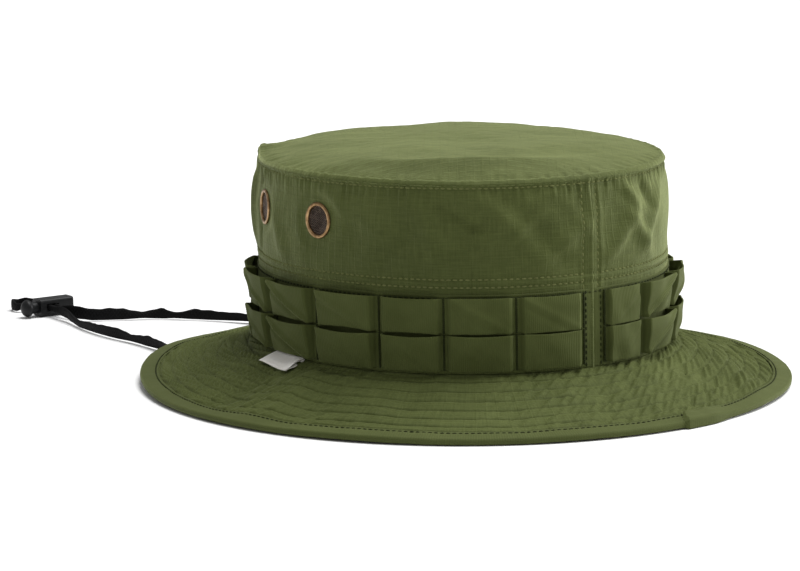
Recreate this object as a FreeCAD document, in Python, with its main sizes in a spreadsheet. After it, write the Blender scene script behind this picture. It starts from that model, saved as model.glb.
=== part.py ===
import FreeCAD, Part
import Sketcher
import math
import os

from FreeCAD import Vector

# Boonie hat, in millimetres. +Z is up, the hat's front is -Y and the wearer's left is +X. The origin is on
# the surface that the hat stands on, under the middle of the crown. The crown is an oval, longer along Y.
# An angle round the hat is the oval's own parameter: 0 is +X, 90 is the rear seam and -90 the front seam.

LEFT, RIGHT = "left", "right"
FRONT_DEG, REAR_DEG = -90.0, 90.0
RING_POINTS = 48

SIZES = {
    # crown
    "crown_half_length": 99.8,
    "crown_half_width": 89.1,
    "crown_height": 82.0,
    "crown_lean": 1.6,
    "dome_rise": 9.0,
    "crown_cloth": 0.8,
    "sewing_gap": 0.1,
    "seam_tape_width": 12.0,
    "seam_tape_cloth": 0.5,
    "top_tape_height": 8.0,
    # brim
    "seam_height": 19.5,
    "brim_reach": 55.5,
    "brim_hollow": 1.35,
    "brim_cloth": 0.5,
    "interlining": 0.6,
    "binding_width": 8.5,
    "binding_cloth": 0.5,
    "front_lift": 3.8,
    "front_lift_angle": -94.0,
    "front_lift_power": 40.0,
    "side_lift": 3.7,
    "side_lift_angle": -50.0,
    "side_lift_power": 10.0,
    # sweatband
    "sweatband_height": 32.0,
    "sweatband_cloth": 1.2,
    # foliage loops
    "band_height": 34.5,
    "band_cloth": 0.5,
    "loop_tape_width": 16.0,
    "loop_tape_cloth": 0.6,
    "loop_tape_start": 1.5,
    "loop_slack": 3.9,
    "seam_strip_angle": 3.5,
    # vents
    "vent_share": 0.876,
    "vent_angle": -5.0,
    "vent_spread": 14.75,
    "eyelet_outer_r": 8.0,
    "eyelet_inner_r": 6.3,
    "eyelet_wall": 0.45,
    "eyelet_lip": 0.9,
    "washer_thick": 0.6,
    "mesh_thick": 0.5,
    "mesh_depth": 0.9,
    # label
    "label_width": 24.0,
    "label_length": 10.0,
    "label_cloth": 0.4,
    "label_fold": 0.5,
    "label_angle": -2.0,
    # chin cord and its lock
    "cord_diameter": 3.0,
    "strand_spacing": 3.4,
    "lock_x": 67.5,
    "lock_y": -268.7,
    "lock_z": 4.4,
    "barrel_length": 18.5,
    "barrel_depth": 9.0,
    "barrel_height": 8.6,
    "barrel_wall": 1.2,
    "barrel_round": 1.6,
    "bore_r": 3.0,
    "lock_hole_x": 2.4,
    "lock_hole_clearance": 0.2,
    "plunger_clearance": 0.2,
    "plunger_travel": 2.5,
    "plunger_web": 2.0,
    "head_r": 4.3,
    "head_length": 6.0,
    "spring_wire": 0.5,
    "spring_turns": 4.5,
}
LOOPS_PER_SIDE = 9

# The chin cord's route: from the seam at the right ear, forward under the brim, through the lock, round its
# end loop, back through the lock, and under the brim to the seam at the left ear.
RIGHT_STRAND = [
    (-87.3, 0.0, 17.9), (-87.3, 0.0, 11.5), (-86.2, -8.0, 5.4), (-81.5, -23.0, 2.1), (-74.0, -41.0, 1.6),
    (-62.5, -63.0, 1.6), (-48.0, -88.0, 1.6), (-30.5, -116.7, 1.6), (-13.2, -149.7, 1.6),
    (2.0, -180.5, 1.6), (17.0, -206.2, 1.6), (34.7, -224.6, 1.6), (50.9, -232.6, 1.8), (63.3, -239.7, 3.2),
]
END_LOOP = [
    (69.3, -289.7, 3.6), (71.6, -295.2, 2.6), (76.1, -296.0, 1.9), (78.9, -291.7, 1.7), (78.1, -284.7, 2.6),
]
LEFT_STRAND = [
    (73.9, -236.7, 2.6), (77.2, -219.3, 1.6), (78.3, -195.7, 1.6), (75.8, -170.8, 1.6), (75.9, -144.4, 1.6),
    (79.9, -115.7, 1.6), (83.6, -88.0, 1.6), (84.4, -61.0, 1.6), (85.6, -40.0, 1.7), (86.4, -23.0, 2.1),
    (86.6, -8.0, 5.4), (87.3, 0.0, 11.5), (87.3, 0.0, 17.9),
]
LOCK_STRAIGHT = (-281.7, -250.7)


# ---- the document, its sheet and small helpers ----

def make_sheet(doc):
    sheet = doc.addObject("Spreadsheet::Sheet", "size")
    for row, (alias, value) in enumerate(SIZES.items(), start=1):
        sheet.set(f"A{row}", alias)
        sheet.set(f"B{row}", str(value))
        sheet.setAlias(f"B{row}", alias)
    doc.recompute()
    return sheet


class Sizes:
    """The sheet's values, for the shapes that are worked out in code."""

    def __init__(self, sheet):
        for alias in SIZES:
            setattr(self, alias, float(sheet.get(alias)))
        self.brim_thick = 2 * self.brim_cloth + self.interlining
        self.crown_base = self.seam_height - self.brim_thick
        self.top_seam = self.seam_height + self.crown_height
        # the vents sit at their share of the bare wall between the band and the top seam's tape
        clear = self.eyelet_outer_r + self.sewing_gap
        lowest = self.band_height + clear
        highest = self.crown_height - self.top_tape_height - clear
        self.vent_height = lowest + (highest - lowest) * self.vent_share


def bind(thing, **expressions):
    """Ties a document object's properties to the sheet; Base_x stands for Placement.Base.x."""
    for name, expression in expressions.items():
        path = f".Placement.Base.{name[-1]}" if name.startswith("Base_") else name
        thing.setExpression(path, expression)
    return thing


def named(thing, label):
    thing.Label = label
    return thing


CROWN_BASE = "(size.seam_height - 2 * size.brim_cloth - size.interlining)"
TOP_SEAM = "(size.seam_height + size.crown_height)"
BAND_TOP = "(size.seam_height + size.band_height)"


def leaning(height):
    """How far the crown's wall leans in at a height above its band."""
    return f"size.crown_lean * ({height} - {BAND_TOP}) / ({TOP_SEAM} - {BAND_TOP})"


def oval(doc, name, inset, height):
    ring = doc.addObject("Part::Ellipse", name)
    ring.Placement.Rotation = FreeCAD.Rotation(Vector(0, 0, 1), 90)
    return bind(
        ring,
        MajorRadius=f"size.crown_half_length - ({inset})",
        MinorRadius=f"size.crown_half_width - ({inset})",
        Base_z=height,
    )


def oval_wall(doc, name, levels, cloth):
    """A tube that follows the crown's oval. levels gives (inset, height) of its outer face, from the bottom up."""
    lofts = []
    for side, extra in (("outer", "0"), ("inner", cloth)):
        loft = doc.addObject("Part::Loft", f"{name}_{side}")
        loft.Sections = [
            oval(doc, f"{name}_{side}_{number}", f"{inset} + {extra}", height)
            for number, (inset, height) in enumerate(levels)
        ]
        loft.Solid = True
        loft.Ruled = True
        lofts.append(loft)
    wall = doc.addObject("Part::Cut", name)
    wall.Base, wall.Tool = lofts
    return wall


def half_space(doc, name, side, clearance):
    """A box over one half of the hat, left or right, that starts a clearance away from the middle."""
    box = doc.addObject("Part::Box", name)
    reach = "4 * size.crown_half_length"
    return bind(
        box,
        Length=reach,
        Width=reach,
        Height=reach,
        Base_x=clearance if side == LEFT else f"-{reach} - ({clearance})",
        Base_y=f"-({reach}) / 2",
        Base_z=f"-({reach}) / 2",
    )


def common(doc, name, base, tool):
    both = doc.addObject("Part::MultiCommon", name)
    both.Shapes = [base, tool]
    return both


def cut(doc, name, base, tool):
    rest = doc.addObject("Part::Cut", name)
    rest.Base, rest.Tool = base, tool
    return rest


def feature(doc, label, shape):
    piece = doc.addObject("Part::Feature", label)
    piece.Shape = shape
    return piece


# ---- sketched pieces ----

def origin_plane(body, role):
    return next(item for item in body.Origin.OriginFeatures if item.Role == role)


def sketch_outline(body, corners):
    """A closed outline in the body's XZ plane, each corner tied to the sheet as (x, z)."""
    sketch = body.newObject("Sketcher::SketchObject", f"{body.Name}_outline")
    sketch.AttachmentSupport = [(origin_plane(body, "XZ_Plane"), "")]
    sketch.MapMode = "FlatFace"
    places = [Vector(body.evalExpression(x), body.evalExpression(z), 0) for x, z in corners]
    for start, end in zip(places, places[1:] + places[:1]):
        sketch.addGeometry(Part.LineSegment(start, end), False)
    for line in range(len(corners)):
        follower = (line + 1) % len(corners)
        sketch.addConstraint(Sketcher.Constraint("Coincident", line, 2, follower, 1))
    for line, (x, z) in enumerate(corners):
        for kind, expression, value in (("X", x, places[line].x), ("Y", z, places[line].y)):
            number = sketch.addConstraint(Sketcher.Constraint(f"Distance{kind}", line, 1, value))
            sketch.setExpression(f"Constraints[{number}]", expression)
    return sketch


def turned_body(doc, label, corners):
    """A PartDesign body turned round its own Z axis."""
    body = doc.addObject("PartDesign::Body", label)
    sketch = sketch_outline(body, corners)
    turning = body.newObject("PartDesign::Revolution", f"{label}_turning")
    turning.Profile = sketch
    turning.ReferenceAxis = (sketch, ["V_Axis"])
    turning.Angle = 360
    return body


def padded_body(doc, label, corners, length):
    body = doc.addObject("PartDesign::Body", label)
    pad = body.newObject("PartDesign::Pad", f"{label}_pad")
    pad.Profile = sketch_outline(body, corners)
    pad.Midplane = True
    pad.setExpression("Length", length)
    return body


# ---- crown ----

def vent_places(size):
    """(side, end, angle) of each vent."""
    places = []
    for end, turn in (("front", -1), ("rear", 1)):
        angle = size.vent_angle + turn * size.vent_spread
        places += [(LEFT, end, angle), (RIGHT, end, 180 - angle)]
    return places


def wall_placement(size, angle, height, offset=0.0):
    """A placement on the crown wall's outer face whose own Z axis points outward."""
    slope = size.crown_lean / (size.crown_height - size.band_height)
    lean = max(0.0, slope * (height - size.seam_height - size.band_height))
    half_width = size.crown_half_width - lean
    half_length = size.crown_half_length - lean
    turn = math.radians(angle)
    outward = Vector(math.cos(turn) / half_width, math.sin(turn) / half_length, 0).normalize()
    outward = (outward + Vector(0, 0, slope)).normalize()
    place = Vector(half_width * math.cos(turn), half_length * math.sin(turn), height)
    return FreeCAD.Placement(place + outward * offset, FreeCAD.Rotation(Vector(0, 0, 1), outward))


def make_crown_sides(doc, size):
    levels = [
        ("0", CROWN_BASE),
        ("0", BAND_TOP),
        ("size.crown_lean", TOP_SEAM),
    ]
    wall = oval_wall(doc, "crown_wall", levels, "size.crown_cloth")
    panels = []
    for side in (LEFT, RIGHT):
        space = half_space(doc, f"crown_{side}_half", side, "size.sewing_gap / 2")
        panel = common(doc, f"crown_wall_{side}", wall, space)
        for vent_side, end, angle in vent_places(size):
            if vent_side != side:
                continue
            hole = doc.addObject("Part::Cylinder", f"vent_hole_{side}_{end}")
            bind(
                hole,
                Radius="size.eyelet_inner_r + size.eyelet_wall + size.sewing_gap",
                Height="2 * size.eyelet_outer_r",
            )
            place = wall_placement(size, angle, size.seam_height + size.vent_height, -size.eyelet_outer_r)
            hole.Placement = place
            panel = cut(doc, f"crown_side_{side}_{end}", panel, hole)
        panels.append(named(panel, f"crown_side_{side}"))
    return panels


def make_crown_top(doc):
    """A shallow dome: a half ellipsoid less the same one set a cloth's thickness lower."""
    domes = []
    for name, drop in (("dome_outside", "0"), ("dome_inside", "size.crown_cloth")):
        dome = doc.addObject("Part::Ellipsoid", name)
        bind(
            dome,
            Radius1="size.dome_rise",
            Radius2="size.crown_half_width - size.crown_lean",
            Radius3="size.crown_half_length - size.crown_lean",
            Base_z=f"{TOP_SEAM} - {drop}",
        )
        dome.Angle1 = 0
        domes.append(dome)
    return named(cut(doc, "dome", *domes), "crown_top")


def make_seam_tapes(doc):
    """The tape under the top seam, and the two over the upright seams between it and the sweatband."""
    tape_low = f"({TOP_SEAM} - size.sewing_gap - size.top_tape_height)"
    tape_high = f"({TOP_SEAM} - size.sewing_gap)"
    inside = "size.crown_cloth + size.sewing_gap"
    levels = [(f"{inside} + {leaning(z)}", z) for z in (tape_low, tape_high)]
    top_tape = oval_wall(doc, "top_tape", levels, "size.seam_tape_cloth")
    low, high = BAND_TOP, f"({tape_low} - size.sewing_gap)"
    levels = [(f"{inside} + {leaning(z)}", z) for z in (low, high)]
    ring = oval_wall(doc, "upright_tapes", levels, "size.seam_tape_cloth")
    tapes = [named(top_tape, "crown_top_seam_tape")]
    for end, start in (("rear", "0"), ("front", "-2 * size.crown_half_length")):
        strip = doc.addObject("Part::Box", f"{end}_strip")
        bind(
            strip,
            Length="size.seam_tape_width",
            Width="2 * size.crown_half_length",
            Height="2 * size.crown_height",
            Base_x="-size.seam_tape_width / 2",
            Base_y=start,
        )
        tapes.append(named(common(doc, f"{end}_tape", ring, strip), f"{end}_seam_tape"))
    return tapes


def make_sweatband(doc):
    inset = "size.crown_cloth + size.sewing_gap"
    levels = [(inset, CROWN_BASE), (inset, f"{CROWN_BASE} + size.sweatband_height")]
    return named(oval_wall(doc, "sweat_ring", levels, "size.sweatband_cloth"), "sweatband")


# ---- foliage loops ----

def make_loop_bands(doc):
    """The backing strips that the loops are sewn to, open at the two upright seams."""
    inset = "-size.sewing_gap - size.band_cloth"
    levels = [(inset, "size.seam_height + size.sewing_gap"), (inset, BAND_TOP)]
    ring = oval_wall(doc, "band_ring", levels, "size.band_cloth")
    bands = []
    for side in (LEFT, RIGHT):
        space = half_space(doc, f"band_{side}_half", side, "size.seam_tape_width / 4")
        bands.append(named(common(doc, f"band_{side}", ring, space), f"loop_band_{side}"))
    return bands


def loop_place(size, side, turn, reach):
    """A place on the loop tape. turn counts degrees from the rear seam towards the side's ear."""
    angle = math.radians(REAR_DEG - turn if side == LEFT else REAR_DEG + turn)
    x = (size.crown_half_width + reach) * math.cos(angle)
    y = (size.crown_half_length + reach) * math.sin(angle)
    return Vector(x, y, 0)


def loop_tape_outline(size, side):
    """One tape seen from above: slack arcs between stitches, an inner and an outer run of them."""
    sewn = size.band_cloth + 2 * size.sewing_gap
    step = (REAR_DEG - FRONT_DEG - 2 * size.seam_strip_angle) / LOOPS_PER_SIDE
    runs = []
    for cloth in (0.0, size.loop_tape_cloth):
        arcs = []
        for loop in range(LOOPS_PER_SIDE):
            start = size.seam_strip_angle + loop * step
            ends = [loop_place(size, side, turn, sewn + cloth) for turn in (start, start + step)]
            middle = loop_place(size, side, start + step / 2, sewn + cloth + size.loop_slack)
            arcs.append(Part.Arc(ends[0], middle, ends[1]).toShape())
        runs.append((arcs, arcs[0].Vertexes[0].Point, arcs[-1].Vertexes[-1].Point))
    (inner, inner_start, inner_end), (outer, outer_start, outer_end) = runs
    ends = [Part.makeLine(inner_start, outer_start), Part.makeLine(inner_end, outer_end)]
    return Part.Wire(Part.__sortEdges__(inner + outer + ends))


def make_loop_tapes(doc, size):
    tapes = []
    for row, level in (("lower", 0), ("upper", 1)):
        for side in (LEFT, RIGHT):
            tape = Part.Face(loop_tape_outline(size, side)).extrude(Vector(0, 0, size.loop_tape_width))
            piece = feature(doc, f"loop_tape_{row}_{side}", tape)
            height = size.seam_height + size.loop_tape_start
            height += level * (size.loop_tape_width + size.sewing_gap)
            piece.Placement = FreeCAD.Placement(Vector(0, 0, height), FreeCAD.Rotation())
            tapes.append(piece)
    return tapes


# ---- brim ----

def brim_top(size, angle, reach):
    """The height of the brim's upper face: hollow in section, with its edge lifted in two places."""
    out = min(1.0, reach / size.brim_reach)
    edge = size.binding_cloth + size.brim_thick
    hollow = edge + (size.seam_height - edge) * (1 - out) ** size.brim_hollow
    lift = 0.0
    for amount, middle, power in (
        (size.front_lift, size.front_lift_angle, size.front_lift_power),
        (size.side_lift, size.side_lift_angle, size.side_lift_power),
    ):
        lift += amount * max(0.0, math.cos(angle - math.radians(middle))) ** power
    return hollow + lift * out**2


def brim_ring(size, reach, below):
    """A closed curve round the hat, at a reach from the crown and a depth below the brim's upper face."""
    places = []
    for number in range(RING_POINTS):
        angle = 2 * math.pi * number / RING_POINTS
        x = (size.crown_half_width + reach) * math.cos(angle)
        y = (size.crown_half_length + reach) * math.sin(angle)
        places.append(Vector(x, y, brim_top(size, angle, reach) - below))
    curve = Part.BSplineCurve()
    curve.interpolate(Points=places, PeriodicFlag=True)
    return curve.toShape()


def ring_solid(size, section):
    """A closed solid round the hat from its section, given as (reach, depth) corners in order."""
    rings = [brim_ring(size, reach, below) for reach, below in section]
    faces = [Part.makeRuledSurface(one, other) for one, other in zip(rings, rings[1:] + rings[:1])]
    shell = Part.makeShell(faces)
    shell.sewShape()
    solid = Part.Solid(shell)
    if solid.Volume < 0:
        solid.reverse()
    return solid


def brim_stations(size):
    """The reaches at which the brim's slope changes, as far as the binding's inner edge and the cut edge."""
    bound = size.brim_reach - size.binding_width
    cut_edge = size.brim_reach - size.binding_cloth
    return [size.sewing_gap, bound * 0.25, bound * 0.5, bound * 0.75, bound, cut_edge]


def make_brim(doc, size):
    layers = (
        ("brim_upper", 0.0, size.brim_cloth),
        ("brim_interlining", size.brim_cloth, size.interlining),
        ("brim_lower", size.brim_cloth + size.interlining, size.brim_cloth),
    )
    stations = brim_stations(size)
    pieces = []
    for label, depth, thick in layers:
        section = [(reach, depth) for reach in stations]
        section += [(reach, depth + thick) for reach in reversed(stations)]
        pieces.append(feature(doc, label, ring_solid(size, section)))
    return pieces


def make_binding(doc, size):
    """The folded tape: over the brim's top, round its cut edge and back under it."""
    inner, cut_edge = brim_stations(size)[-2:]
    outer = size.brim_reach
    under = size.brim_thick
    cloth = size.binding_cloth
    section = [
        (inner, 0.0), (inner, -cloth), (outer, -cloth), (outer, under + cloth),
        (inner, under + cloth), (inner, under), (cut_edge, under), (cut_edge, 0.0),
    ]
    return feature(doc, "brim_binding", ring_solid(size, section))


# ---- vents and label ----

def make_vents(doc, size):
    """Each vent is a rolled eyelet through the wall, a wire mesh in its throat and a washer inside."""
    bore, throat = "size.eyelet_inner_r", "size.eyelet_inner_r + size.eyelet_wall"
    sagitta = "size.eyelet_outer_r * size.eyelet_outer_r / (2 * size.crown_half_width)"
    washer_top = f"-(size.crown_cloth + 2 * size.sewing_gap + {sagitta})"
    washer_low = f"{washer_top} - size.washer_thick"
    lip, sit = "size.eyelet_lip", "size.sewing_gap"
    eyelet = [
        (bore, washer_low), (throat, washer_low), (throat, sit), ("size.eyelet_outer_r", sit),
        ("size.eyelet_outer_r", f"{sit} + {lip} / 2"), (f"size.eyelet_outer_r - {lip} / 2", lip), (bore, lip),
    ]
    washer = [
        (f"{throat} + {sit}", washer_low), ("size.eyelet_outer_r", washer_low),
        ("size.eyelet_outer_r", washer_top), (f"{throat} + {sit}", washer_top),
    ]
    rim = f"{bore} - {sit} / 2"
    floor = "-size.mesh_depth"
    mesh = [("0", floor), (rim, floor), (rim, f"{floor} + size.mesh_thick"), ("0", f"{floor} + size.mesh_thick")]
    pieces = []
    for side, end, angle in vent_places(size):
        for kind, corners in (("eyelet", eyelet), ("mesh", mesh), ("washer", washer)):
            body = turned_body(doc, f"vent_{kind}_{side}_{end}", corners)
            body.Placement = wall_placement(size, angle, size.seam_height + size.vent_height)
            pieces.append(body)
    return pieces


def make_label(doc, size):
    """A blank tab folded at its outer end, lying on the brim's slope at the seam."""
    cloth, gap, length = "size.label_cloth", "size.label_fold", "size.label_length"
    high = f"2 * {cloth} + {gap}"
    outline = [
        ("0", "0"), (length, "0"), (length, high), ("0", high), ("0", f"{high} - {cloth}"),
        (f"{length} - {cloth}", f"{high} - {cloth}"), (f"{length} - {cloth}", cloth), ("0", cloth),
    ]
    label = padded_body(doc, "side_label", outline, "size.label_width")
    angle = math.radians(size.label_angle)
    start = size.band_cloth + size.loop_tape_cloth + size.loop_tape_start
    x = (size.crown_half_width + start) * math.cos(angle)
    y = (size.crown_half_length + start) * math.sin(angle)
    inner, outer = (brim_top(size, angle, reach) for reach in (start, start + size.label_length))
    fall = math.degrees(math.atan2(inner - outer, size.label_length))
    clear = inner + size.label_fold
    slope = FreeCAD.Rotation(Vector(0, 0, 1), size.label_angle)
    slope = slope.multiply(FreeCAD.Rotation(Vector(0, 1, 0), fall))
    label.Placement = FreeCAD.Placement(Vector(x, y, clear), slope)
    return label


# ---- chin cord and its lock ----

def cord_route(size):
    """All points of the cord's route, with the two straight strands that the lock holds."""
    middle = size.lock_x + size.lock_hole_x
    rear, front = LOCK_STRAIGHT
    near, far = middle - size.strand_spacing / 2, middle + size.strand_spacing / 2
    points = RIGHT_STRAND + [(near, front, size.lock_z), (near, rear, size.lock_z)]
    points += END_LOOP + [(far, rear, size.lock_z), (far, front, size.lock_z)] + LEFT_STRAND
    return [Vector(*point) for point in points]


def rounded_path(points):
    """Straight runs joined by tangent arcs: each radius is 0.45 of the shorter run over tan(half the turn)."""
    edges, radii = [], []
    start = points[0]
    for before, corner, after in zip(points, points[1:], points[2:]):
        back, ahead = before - corner, after - corner
        trim = 0.45 * min(back.Length, ahead.Length)
        half_turn = (math.pi - back.getAngle(ahead)) / 2
        radius = trim / math.tan(half_turn)
        radii.append(radius)
        enter = corner + Vector(back).normalize() * trim
        leave = corner + Vector(ahead).normalize() * trim
        middle_way = (Vector(back).normalize() + Vector(ahead).normalize()).normalize()
        crown = corner + middle_way * (radius / math.cos(half_turn) - radius)
        edges.append(Part.LineSegment(start, enter).toShape())
        edges.append(Part.Arc(enter, crown, leave).toShape())
        start = leave
    edges.append(Part.LineSegment(start, points[-1]).toShape())
    return Part.Wire(edges), radii


def make_cord(doc, size):
    """A round tube with the braid's own section area; the real braid is flat."""
    points = cord_route(size)
    path, radii = rounded_path(points)
    radius = size.cord_diameter / 2
    section = Part.Wire(Part.makeCircle(radius, points[0], points[1] - points[0]))
    tube = path.makePipeShell([section], True, False)
    print("cord radii", [round(value, 1) for value in radii])
    expected = math.pi * radius**2 * path.Length
    print("cord length", round(path.Length, 1), "volume over section times length", tube.Volume / expected)
    return feature(doc, "chin_cord", tube)


LOCK_PLACE = {"Base_x": "size.lock_x", "Base_y": "size.lock_y", "Base_z": "size.lock_z"}
ALONG_X = FreeCAD.Rotation(Vector(0, 1, 0), 90)
HOLE_LENGTH = "(size.strand_spacing + size.cord_diameter + 2 * size.lock_hole_clearance)"
HOLE_HEIGHT = "(size.cord_diameter + 4 * size.lock_hole_clearance)"


def box_at(doc, name, length, width, height, middle_x):
    """A box round a place on the lock's own axis, middle_x from the barrel's middle."""
    box = doc.addObject("Part::Box", name)
    return bind(
        box,
        Length=length,
        Width=width,
        Height=height,
        Base_x=f"size.lock_x + {middle_x} - {length} / 2",
        Base_y=f"size.lock_y - {width} / 2",
        Base_z=f"size.lock_z - {height} / 2",
    )


def rod_at(doc, name, radius, start, length):
    """A rod along X on the lock's axis, from start, measured from the barrel's middle."""
    rod = doc.addObject("Part::Cylinder", name)
    rod.Placement.Rotation = ALONG_X
    return bind(
        rod,
        Radius=radius,
        Height=length,
        Base_x=f"size.lock_x + {start}",
        Base_y="size.lock_y",
        Base_z="size.lock_z",
    )


def make_barrel(doc):
    block = box_at(doc, "barrel_block", "size.barrel_length", "size.barrel_depth", "size.barrel_height", "0")
    doc.recompute()
    rounded = doc.addObject("Part::Fillet", "barrel_rounded")
    rounded.Base = block
    round_size = float(doc.getObject("size").get("barrel_round"))
    rounded.Edges = [
        (number, round_size, round_size)
        for number, edge in enumerate(block.Shape.Edges, start=1)
        if abs(edge.tangentAt(edge.FirstParameter).x) > 0.5
    ]
    inside = "(size.barrel_length - size.barrel_wall)"
    bore = rod_at(doc, "barrel_bore", "size.bore_r", "size.barrel_wall - size.barrel_length / 2", inside)
    hole = box_at(doc, "barrel_hole", HOLE_LENGTH, "2 * size.barrel_depth", HOLE_HEIGHT, "size.lock_hole_x")
    return named(cut(doc, "barrel_open", cut(doc, "barrel_bored", rounded, bore), hole), "cord_lock_barrel")


SLOT_LENGTH = f"({HOLE_LENGTH} + size.plunger_travel)"
SLOT_START = f"(size.lock_hole_x - {HOLE_LENGTH} / 2)"
ROD_START = f"({SLOT_START} - size.plunger_web)"
HEAD_START = "(size.barrel_length / 2 + size.plunger_travel)"


def make_plunger(doc):
    """The plunger's rod with its own slot for the two strands, and the round head that a finger presses."""
    rod_length = f"({HEAD_START} - {ROD_START} + size.barrel_wall)"
    rod = rod_at(doc, "plunger_rod", "size.bore_r - size.plunger_clearance", ROD_START, rod_length)
    slot_middle = f"({SLOT_START} + {SLOT_LENGTH} / 2)"
    slot = box_at(doc, "plunger_slot", SLOT_LENGTH, "2 * size.barrel_depth", HOLE_HEIGHT, slot_middle)
    head = doc.addObject("Part::Ellipsoid", "plunger_head_round")
    head.Placement.Rotation = ALONG_X
    bind(
        head,
        Radius1="size.head_length / 2",
        Radius2="size.head_r",
        Radius3="size.head_r",
        Base_x=f"size.lock_x + {HEAD_START} + size.head_length / 2",
        Base_y="size.lock_y",
        Base_z="size.lock_z",
    )
    whole = doc.addObject("Part::Fuse", "plunger_whole")
    whole.Base, whole.Tool = cut(doc, "plunger_slotted", rod, slot), head
    return named(whole, "cord_lock_plunger")


def make_spring(doc):
    """A coil spring between the barrel's closed end and the plunger's rod."""
    start = "(size.barrel_wall - size.barrel_length / 2)"
    room = f"({ROD_START} - {start} - size.spring_wire)"
    coil_r = "(size.bore_r - size.plunger_clearance - size.spring_wire)"
    helix = doc.addObject("Part::Helix", "spring_line")
    helix.Placement.Rotation = ALONG_X
    bind(
        helix,
        Radius=coil_r,
        Pitch=f"({room} - 2 * size.sewing_gap) / size.spring_turns",
        Height=f"{room} - 2 * size.sewing_gap",
        Base_x=f"size.lock_x + {start} + size.spring_wire / 2 + size.sewing_gap",
        Base_y="size.lock_y",
        Base_z="size.lock_z",
    )
    wire = doc.addObject("Part::Circle", "spring_wire_section")
    wire.Placement.Rotation = FreeCAD.Rotation(Vector(0, 1, 0), 0).multiply(FreeCAD.Rotation(Vector(1, 0, 0), 90))
    bind(
        wire,
        Radius="size.spring_wire / 2",
        Base_x=f"size.lock_x + {start} + size.spring_wire / 2 + size.sewing_gap",
        Base_y="size.lock_y",
        Base_z=f"size.lock_z - {coil_r}",
    )
    coil = doc.addObject("Part::Sweep", "spring_coil")
    coil.Sections = [wire]
    coil.Spine = (helix, [])
    coil.Solid = True
    coil.Frenet = True
    return named(coil, "cord_lock_spring")


# ---- check and write ----

def check(doc, pieces):
    for thing in doc.Objects:
        if "Invalid" in thing.State or "Error" in thing.State:
            raise RuntimeError(f"{thing.Name} failed: {thing.State}")
    for piece in pieces:
        if piece.Shape.isNull() or not piece.Shape.isValid():
            raise RuntimeError(f"{piece.Label} has no valid shape")


def main():
    doc = FreeCAD.newDocument("boonie_hat")
    size = Sizes(make_sheet(doc))
    pieces = make_crown_sides(doc, size)
    pieces.append(make_crown_top(doc))
    pieces += make_seam_tapes(doc)
    pieces.append(make_sweatband(doc))
    pieces += make_loop_bands(doc)
    pieces += make_loop_tapes(doc, size)
    pieces += make_brim(doc, size)
    pieces.append(make_binding(doc, size))
    pieces += make_vents(doc, size)
    pieces.append(make_label(doc, size))
    pieces.append(make_cord(doc, size))
    pieces += [make_barrel(doc), make_plunger(doc), make_spring(doc)]
    doc.recompute()
    check(doc, pieces)
    os.makedirs("parts", exist_ok=True)
    for piece in pieces:
        piece.Shape.exportStep(os.path.join("parts", f"{piece.Label}.step"))
    print(len(pieces), "pieces")


main()
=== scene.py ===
import math
import random
from contextlib import contextmanager

import bmesh
import bpy
import numpy as np
from mathutils import Matrix, Vector, noise


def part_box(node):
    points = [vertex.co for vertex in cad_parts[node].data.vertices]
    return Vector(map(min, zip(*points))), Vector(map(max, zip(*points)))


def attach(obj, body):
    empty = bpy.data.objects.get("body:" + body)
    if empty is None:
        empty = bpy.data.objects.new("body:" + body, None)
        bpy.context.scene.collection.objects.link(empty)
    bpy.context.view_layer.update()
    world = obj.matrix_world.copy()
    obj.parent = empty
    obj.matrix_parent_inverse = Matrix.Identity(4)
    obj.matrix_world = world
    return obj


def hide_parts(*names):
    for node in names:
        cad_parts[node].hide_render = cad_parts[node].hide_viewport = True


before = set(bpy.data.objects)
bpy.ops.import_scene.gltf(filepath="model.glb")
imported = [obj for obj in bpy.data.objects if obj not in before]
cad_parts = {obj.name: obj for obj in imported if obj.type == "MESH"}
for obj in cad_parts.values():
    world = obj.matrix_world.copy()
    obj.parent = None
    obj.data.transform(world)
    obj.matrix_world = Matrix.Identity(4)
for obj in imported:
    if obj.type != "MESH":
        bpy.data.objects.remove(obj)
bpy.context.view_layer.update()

# A boonie hat in olive ripstop, with its chin cord laid out in front of it. Metres, +Z up, hat front -Y.
# An angle round the hat is the crown oval's parameter: 0 is the wearer's left and 90 the rear seam.

MM = 0.001
TAU = 2 * math.pi

# ---- sizes read from the frame ----

CROWN_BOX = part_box("crown_side_left")
HALF_WIDTH, HALF_LENGTH = CROWN_BOX[1][0], CROWN_BOX[1][1]
TOP_SEAM_Z = CROWN_BOX[1][2]
CROWN_BASE_Z = CROWN_BOX[0][2]
DOME_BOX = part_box("crown_top")
CROWN_LEAN = HALF_WIDTH - DOME_BOX[1][0]
DOME_RISE = DOME_BOX[1][2] - TOP_SEAM_Z
BAND_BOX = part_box("loop_band_left")
BAND_TOP_Z = BAND_BOX[1][2]
SEAM_Z = BAND_BOX[0][2] - 0.1 * MM
BINDING_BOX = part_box("brim_binding")
BRIM_REACH = BINDING_BOX[1][0] - HALF_WIDTH
SWEAT_TOP_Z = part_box("sweatband")[1][2]

# ---- sizes of the cloth ----

BRIM_THICK = SEAM_Z - CROWN_BASE_Z
BINDING_WIDTH = 8.5 * MM
BINDING_CLOTH = 0.5 * MM
BINDING_ROW = 1.3 * MM
BRIM_HOLLOW = 1.35
EDGE_LIFTS = ((3.8 * MM, -94.0, 40), (3.7 * MM, -50.0, 10))
QUILT_ROWS = 6
CLOTH = 0.45 * MM
SEAM_STRIP_DEG = 3.5
SIDES = ("left", "right")


def radians(degrees):
    return degrees * math.pi / 180


def smooth(low, high, value):
    """0 below low, 1 above high and an even curve between."""
    share = np.clip((value - low) / (high - low), 0.0, 1.0)
    return share * share * (3 - 2 * share)


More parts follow.
